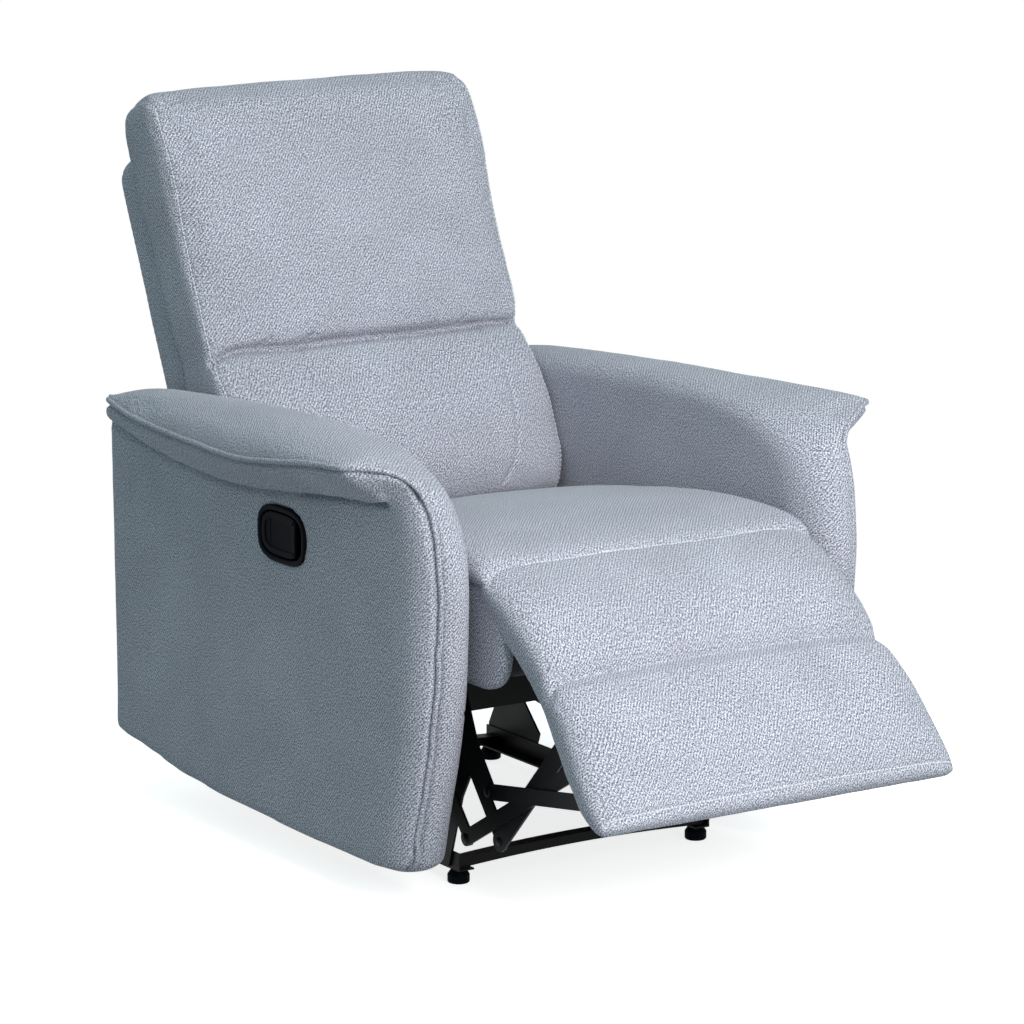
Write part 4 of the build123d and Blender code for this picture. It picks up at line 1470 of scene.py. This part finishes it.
# ---------------------------------------------------------------- studio
@dataclass
class Studio:
    """Pale floor, soft lights and the camera."""

    floor: str = "#F6F2F1"
    bounce: str = "#A5A8AA"
    fade: tuple[float, float] = (0.75, 1.5)     # where the floor turns plain white, metres from the middle
    glow: float = 0.8       # how much light the floor adds where it is seen
    world: float = 0.42
    fill: tuple[float, float, float] = (0.74, 1.02, 1.06)
    # camera: focal length and shift, its angles in degrees, and its distance and the aim's height in metres
    lens: float = 173.5576171875
    shift: tuple[float, float] = (0.02298828125, 0.00396484375)
    angles: tuple[float, float] = (-33.15, 12.08)
    distance: float = 6.99517
    aim: float = 0.45

    def lamp(self, name: str, place: Point, aim: Point, size: float, power: float) -> None:
        """Large soft area lamp, not seen itself.

        Args:
            name: the lamp's name.
            place: where it stands, metres.
            aim: what it points at, metres.
            size: its side, metres.
            power: watts.
        """
        data = bpy.data.lights.new(name, "AREA")
        data.energy, data.size = power, size
        lamp = bpy.data.objects.new(name, data)
        lamp.location = place
        lamp.rotation_euler = (Vector(aim) - Vector(place)).to_track_quat("-Z", "Y").to_euler()
        lamp.visible_camera = False
        bpy.context.scene.collection.objects.link(lamp)

    def paint_floor(self) -> bpy.types.Material:
        """Matt white floor that runs out into plain white away from the chair."""
        material = bpy.data.materials.new("matt_white_floor_paint")
        material.use_nodes = True
        tree = material.node_tree
        shader = tree.nodes["Principled BSDF"]
        shader.inputs["Roughness"].default_value = 0.9
        shader.inputs["Specular IOR Level"].default_value = 0.0
        place = add_node(tree, "TexCoord")
        away = add_node(tree, "VectorMath", {0: place.outputs["Object"]}, operation="LENGTH")
        fade = add_node(tree, "MapRange", {0: away.outputs["Value"], 1: self.fade[0], 2: self.fade[1]},
                        interpolation_type="SMOOTHSTEP")
        ray = add_node(tree, "LightPath")
        seen = math_node(tree, "MAXIMUM", ray.outputs["Is Camera Ray"], ray.outputs["Is Glossy Ray"])
        paint = add_node(tree, "MixRGB", {0: seen, 1: linear(self.bounce), 2: linear(self.floor)})
        tree.links.new(paint.outputs[0], shader.inputs["Base Color"])
        glow = add_node(tree, "Emission", {"Strength": math_node(tree, "MULTIPLY", seen, self.glow)})
        lit = add_node(tree, "AddShader", {0: shader.outputs[0], 1: glow.outputs[0]})
        white = add_node(tree, "Emission", {"Strength": 1.0})
        part = math_node(tree, "MULTIPLY", seen, fade.outputs[0])
        mix = add_node(tree, "MixShader", {0: part, 1: lit.outputs[0], 2: white.outputs[0]})
        tree.links.new(mix.outputs[0], tree.nodes["Material Output"].inputs["Surface"])
        return material

    def light_world(self) -> None:
        """World that fills with a cool tint and is plain white where it is seen."""
        world = bpy.data.worlds.new("studio")
        world.use_nodes = True
        bpy.context.scene.world = world
        tree = world.node_tree
        ray = add_node(tree, "LightPath")
        glint = math_node(tree, "MAXIMUM", ray.outputs["Is Glossy Ray"], ray.outputs["Is Transmission Ray"])
        seen = math_node(tree, "MAXIMUM", ray.outputs["Is Camera Ray"], glint)
        level = add_node(tree, "MapRange", {0: seen, 3: self.world, 4: 1.0})
        tint = add_node(tree, "MixRGB", {0: seen, 1: self.fill + (1.0,), 2: (1, 1, 1, 1)})
        back = tree.nodes["Background"]
        tree.links.new(tint.outputs[0], back.inputs["Color"])
        tree.links.new(level.outputs[0], back.inputs["Strength"])

    def set_camera(self) -> None:
        """Long lens on the chair's right front, a little above it."""
        scene = bpy.context.scene
        data = bpy.data.cameras.new("camera")
        data.sensor_width, data.lens, data.clip_end = 36.0, self.lens, 100
        data.shift_x, data.shift_y = self.shift
        camera = bpy.data.objects.new("camera", data)
        turn, rise = (math.radians(a) for a in self.angles)
        away = Vector((math.sin(turn) * math.cos(rise), -math.cos(turn) * math.cos(rise), math.sin(rise)))
        camera.location = Vector((0, DATUM_Y / 1000, self.aim)) + away * self.distance
        camera.rotation_euler = (-away).to_track_quat("-Z", "Y").to_euler()
        scene.collection.objects.link(camera)
        scene.camera = camera
        scene.view_settings.view_transform = "Standard"

    def build(self) -> None:
        """Set the floor, world, lamps and camera."""
        bpy.ops.object.select_all(action="DESELECT")
        bpy.ops.mesh.primitive_plane_add(size=30, location=(0, 0, 0))
        floor = bpy.context.active_object
        floor.name = "floor"
        floor.data.materials.append(self.paint_floor())
        floor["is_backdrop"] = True
        self.light_world()
        self.lamp("key", (-0.2, -2.95, 1.75), (0, -0.1, 0.45), size=1.6, power=89)
        self.lamp("top", (-0.3, -0.6, 3.4), (0, 0, 0.4), size=2.0, power=19)
        self.set_camera()


# ---------------------------------------------------------------- chair
class Chair:
    """The whole recliner, sub-assembly by sub-assembly."""

    def __init__(self, frame: dict) -> None:
        """Keep the loaded frame and open a wardrobe of finishes."""
        self.frame = frame
        self.wardrobe = Wardrobe()

    def soft(self) -> list[SoftPiece]:
        """Padded pieces in the order they are built."""
        pieces: list[SoftPiece] = [
            BackCushion("back_cushion", "backrest", ("back_cushion_head", "back_cushion_lumbar"),
                        pressure=4.0, cap=0.005, rounds=5, voxel=0.0055, seams=back_seams()),
            BackShell("back_outer_cover", "backrest", ("back_shell",), voxel=0.005, rounds=3, fine=0,
                      seams=shell_seams(), ripple=0.0008),
            SeatCushion("seat_cover", "chair_base", ("seat_cushion",), pressure=4.0, cap=0.003),
            FootrestCover("footrest_cover", "footrest",
                          ("chaise_gusset", "footrest_pad_upper", "footrest_pad_lower"),
                          pressure=4.0, cap=0.004, seams=footrest_seams()),
            CrossSlab("seat_box_front", "chair_base", ("seat_rail_front",), outline=BOX_FRONT, half=246,
                      slices=12, voxel=0.005, rounds=2, fine=0, ripple=0.0005, cloth=Cloth.DUST),
            CrossSlab("rear_panel_cover", "chair_base", ("rear_panel",), outline=REAR_PANEL, half=271,
                      voxel=0.005, rounds=2, fine=0, ripple=0.0006),
        ]
        for side in (1, -1):
            word = side_word(side)
            pads = tuple(f"arm_{part}_{word}" for part in ("outer_pad", "inner_pad", "front_pad", "top_pad"))
            pieces.append(SeatBoxSide(f"seat_box_side_{word}", "chair_base", (f"seat_side_{word}",),
                                      voxel=0.005, rounds=3, fine=0, ripple=0.0005, side=side))
            pieces.append(ArmCover(f"arm_cover_{word}", "chair_base", pads, voxel=0.007, rounds=8, fine=1,
                                   ripple=0.0009, side=side, seams=arm_seams(side)))
        return pieces

    def build(self) -> None:
        """Build every piece."""
        for piece in self.soft():
            obj = piece.build(self.wardrobe)
            if isinstance(piece, ArmCover):
                line = on_chair(PIPING_EDGE + PIPING_FACE, piece.side)
                name = f"arm_piping_{side_word(piece.side)}"
                cord = welt(name, line, radius=0.0038, target=obj, sink=0.34)
                self.wardrobe.dress(cord, Cloth.COVER)
                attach(cord, "chair_base")
        Mechanism().build(self.wardrobe, self.frame["nodes"])
        ReleaseLever().build(self.wardrobe)


def main() -> None:
    """Load the frame, dress the chair and set the studio."""
    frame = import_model()
    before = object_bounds()
    before = [tuple(before[0]), tuple(before[1])]
    Chair(frame).build()
    Studio().build()


if __name__ == "__main__":
    main()
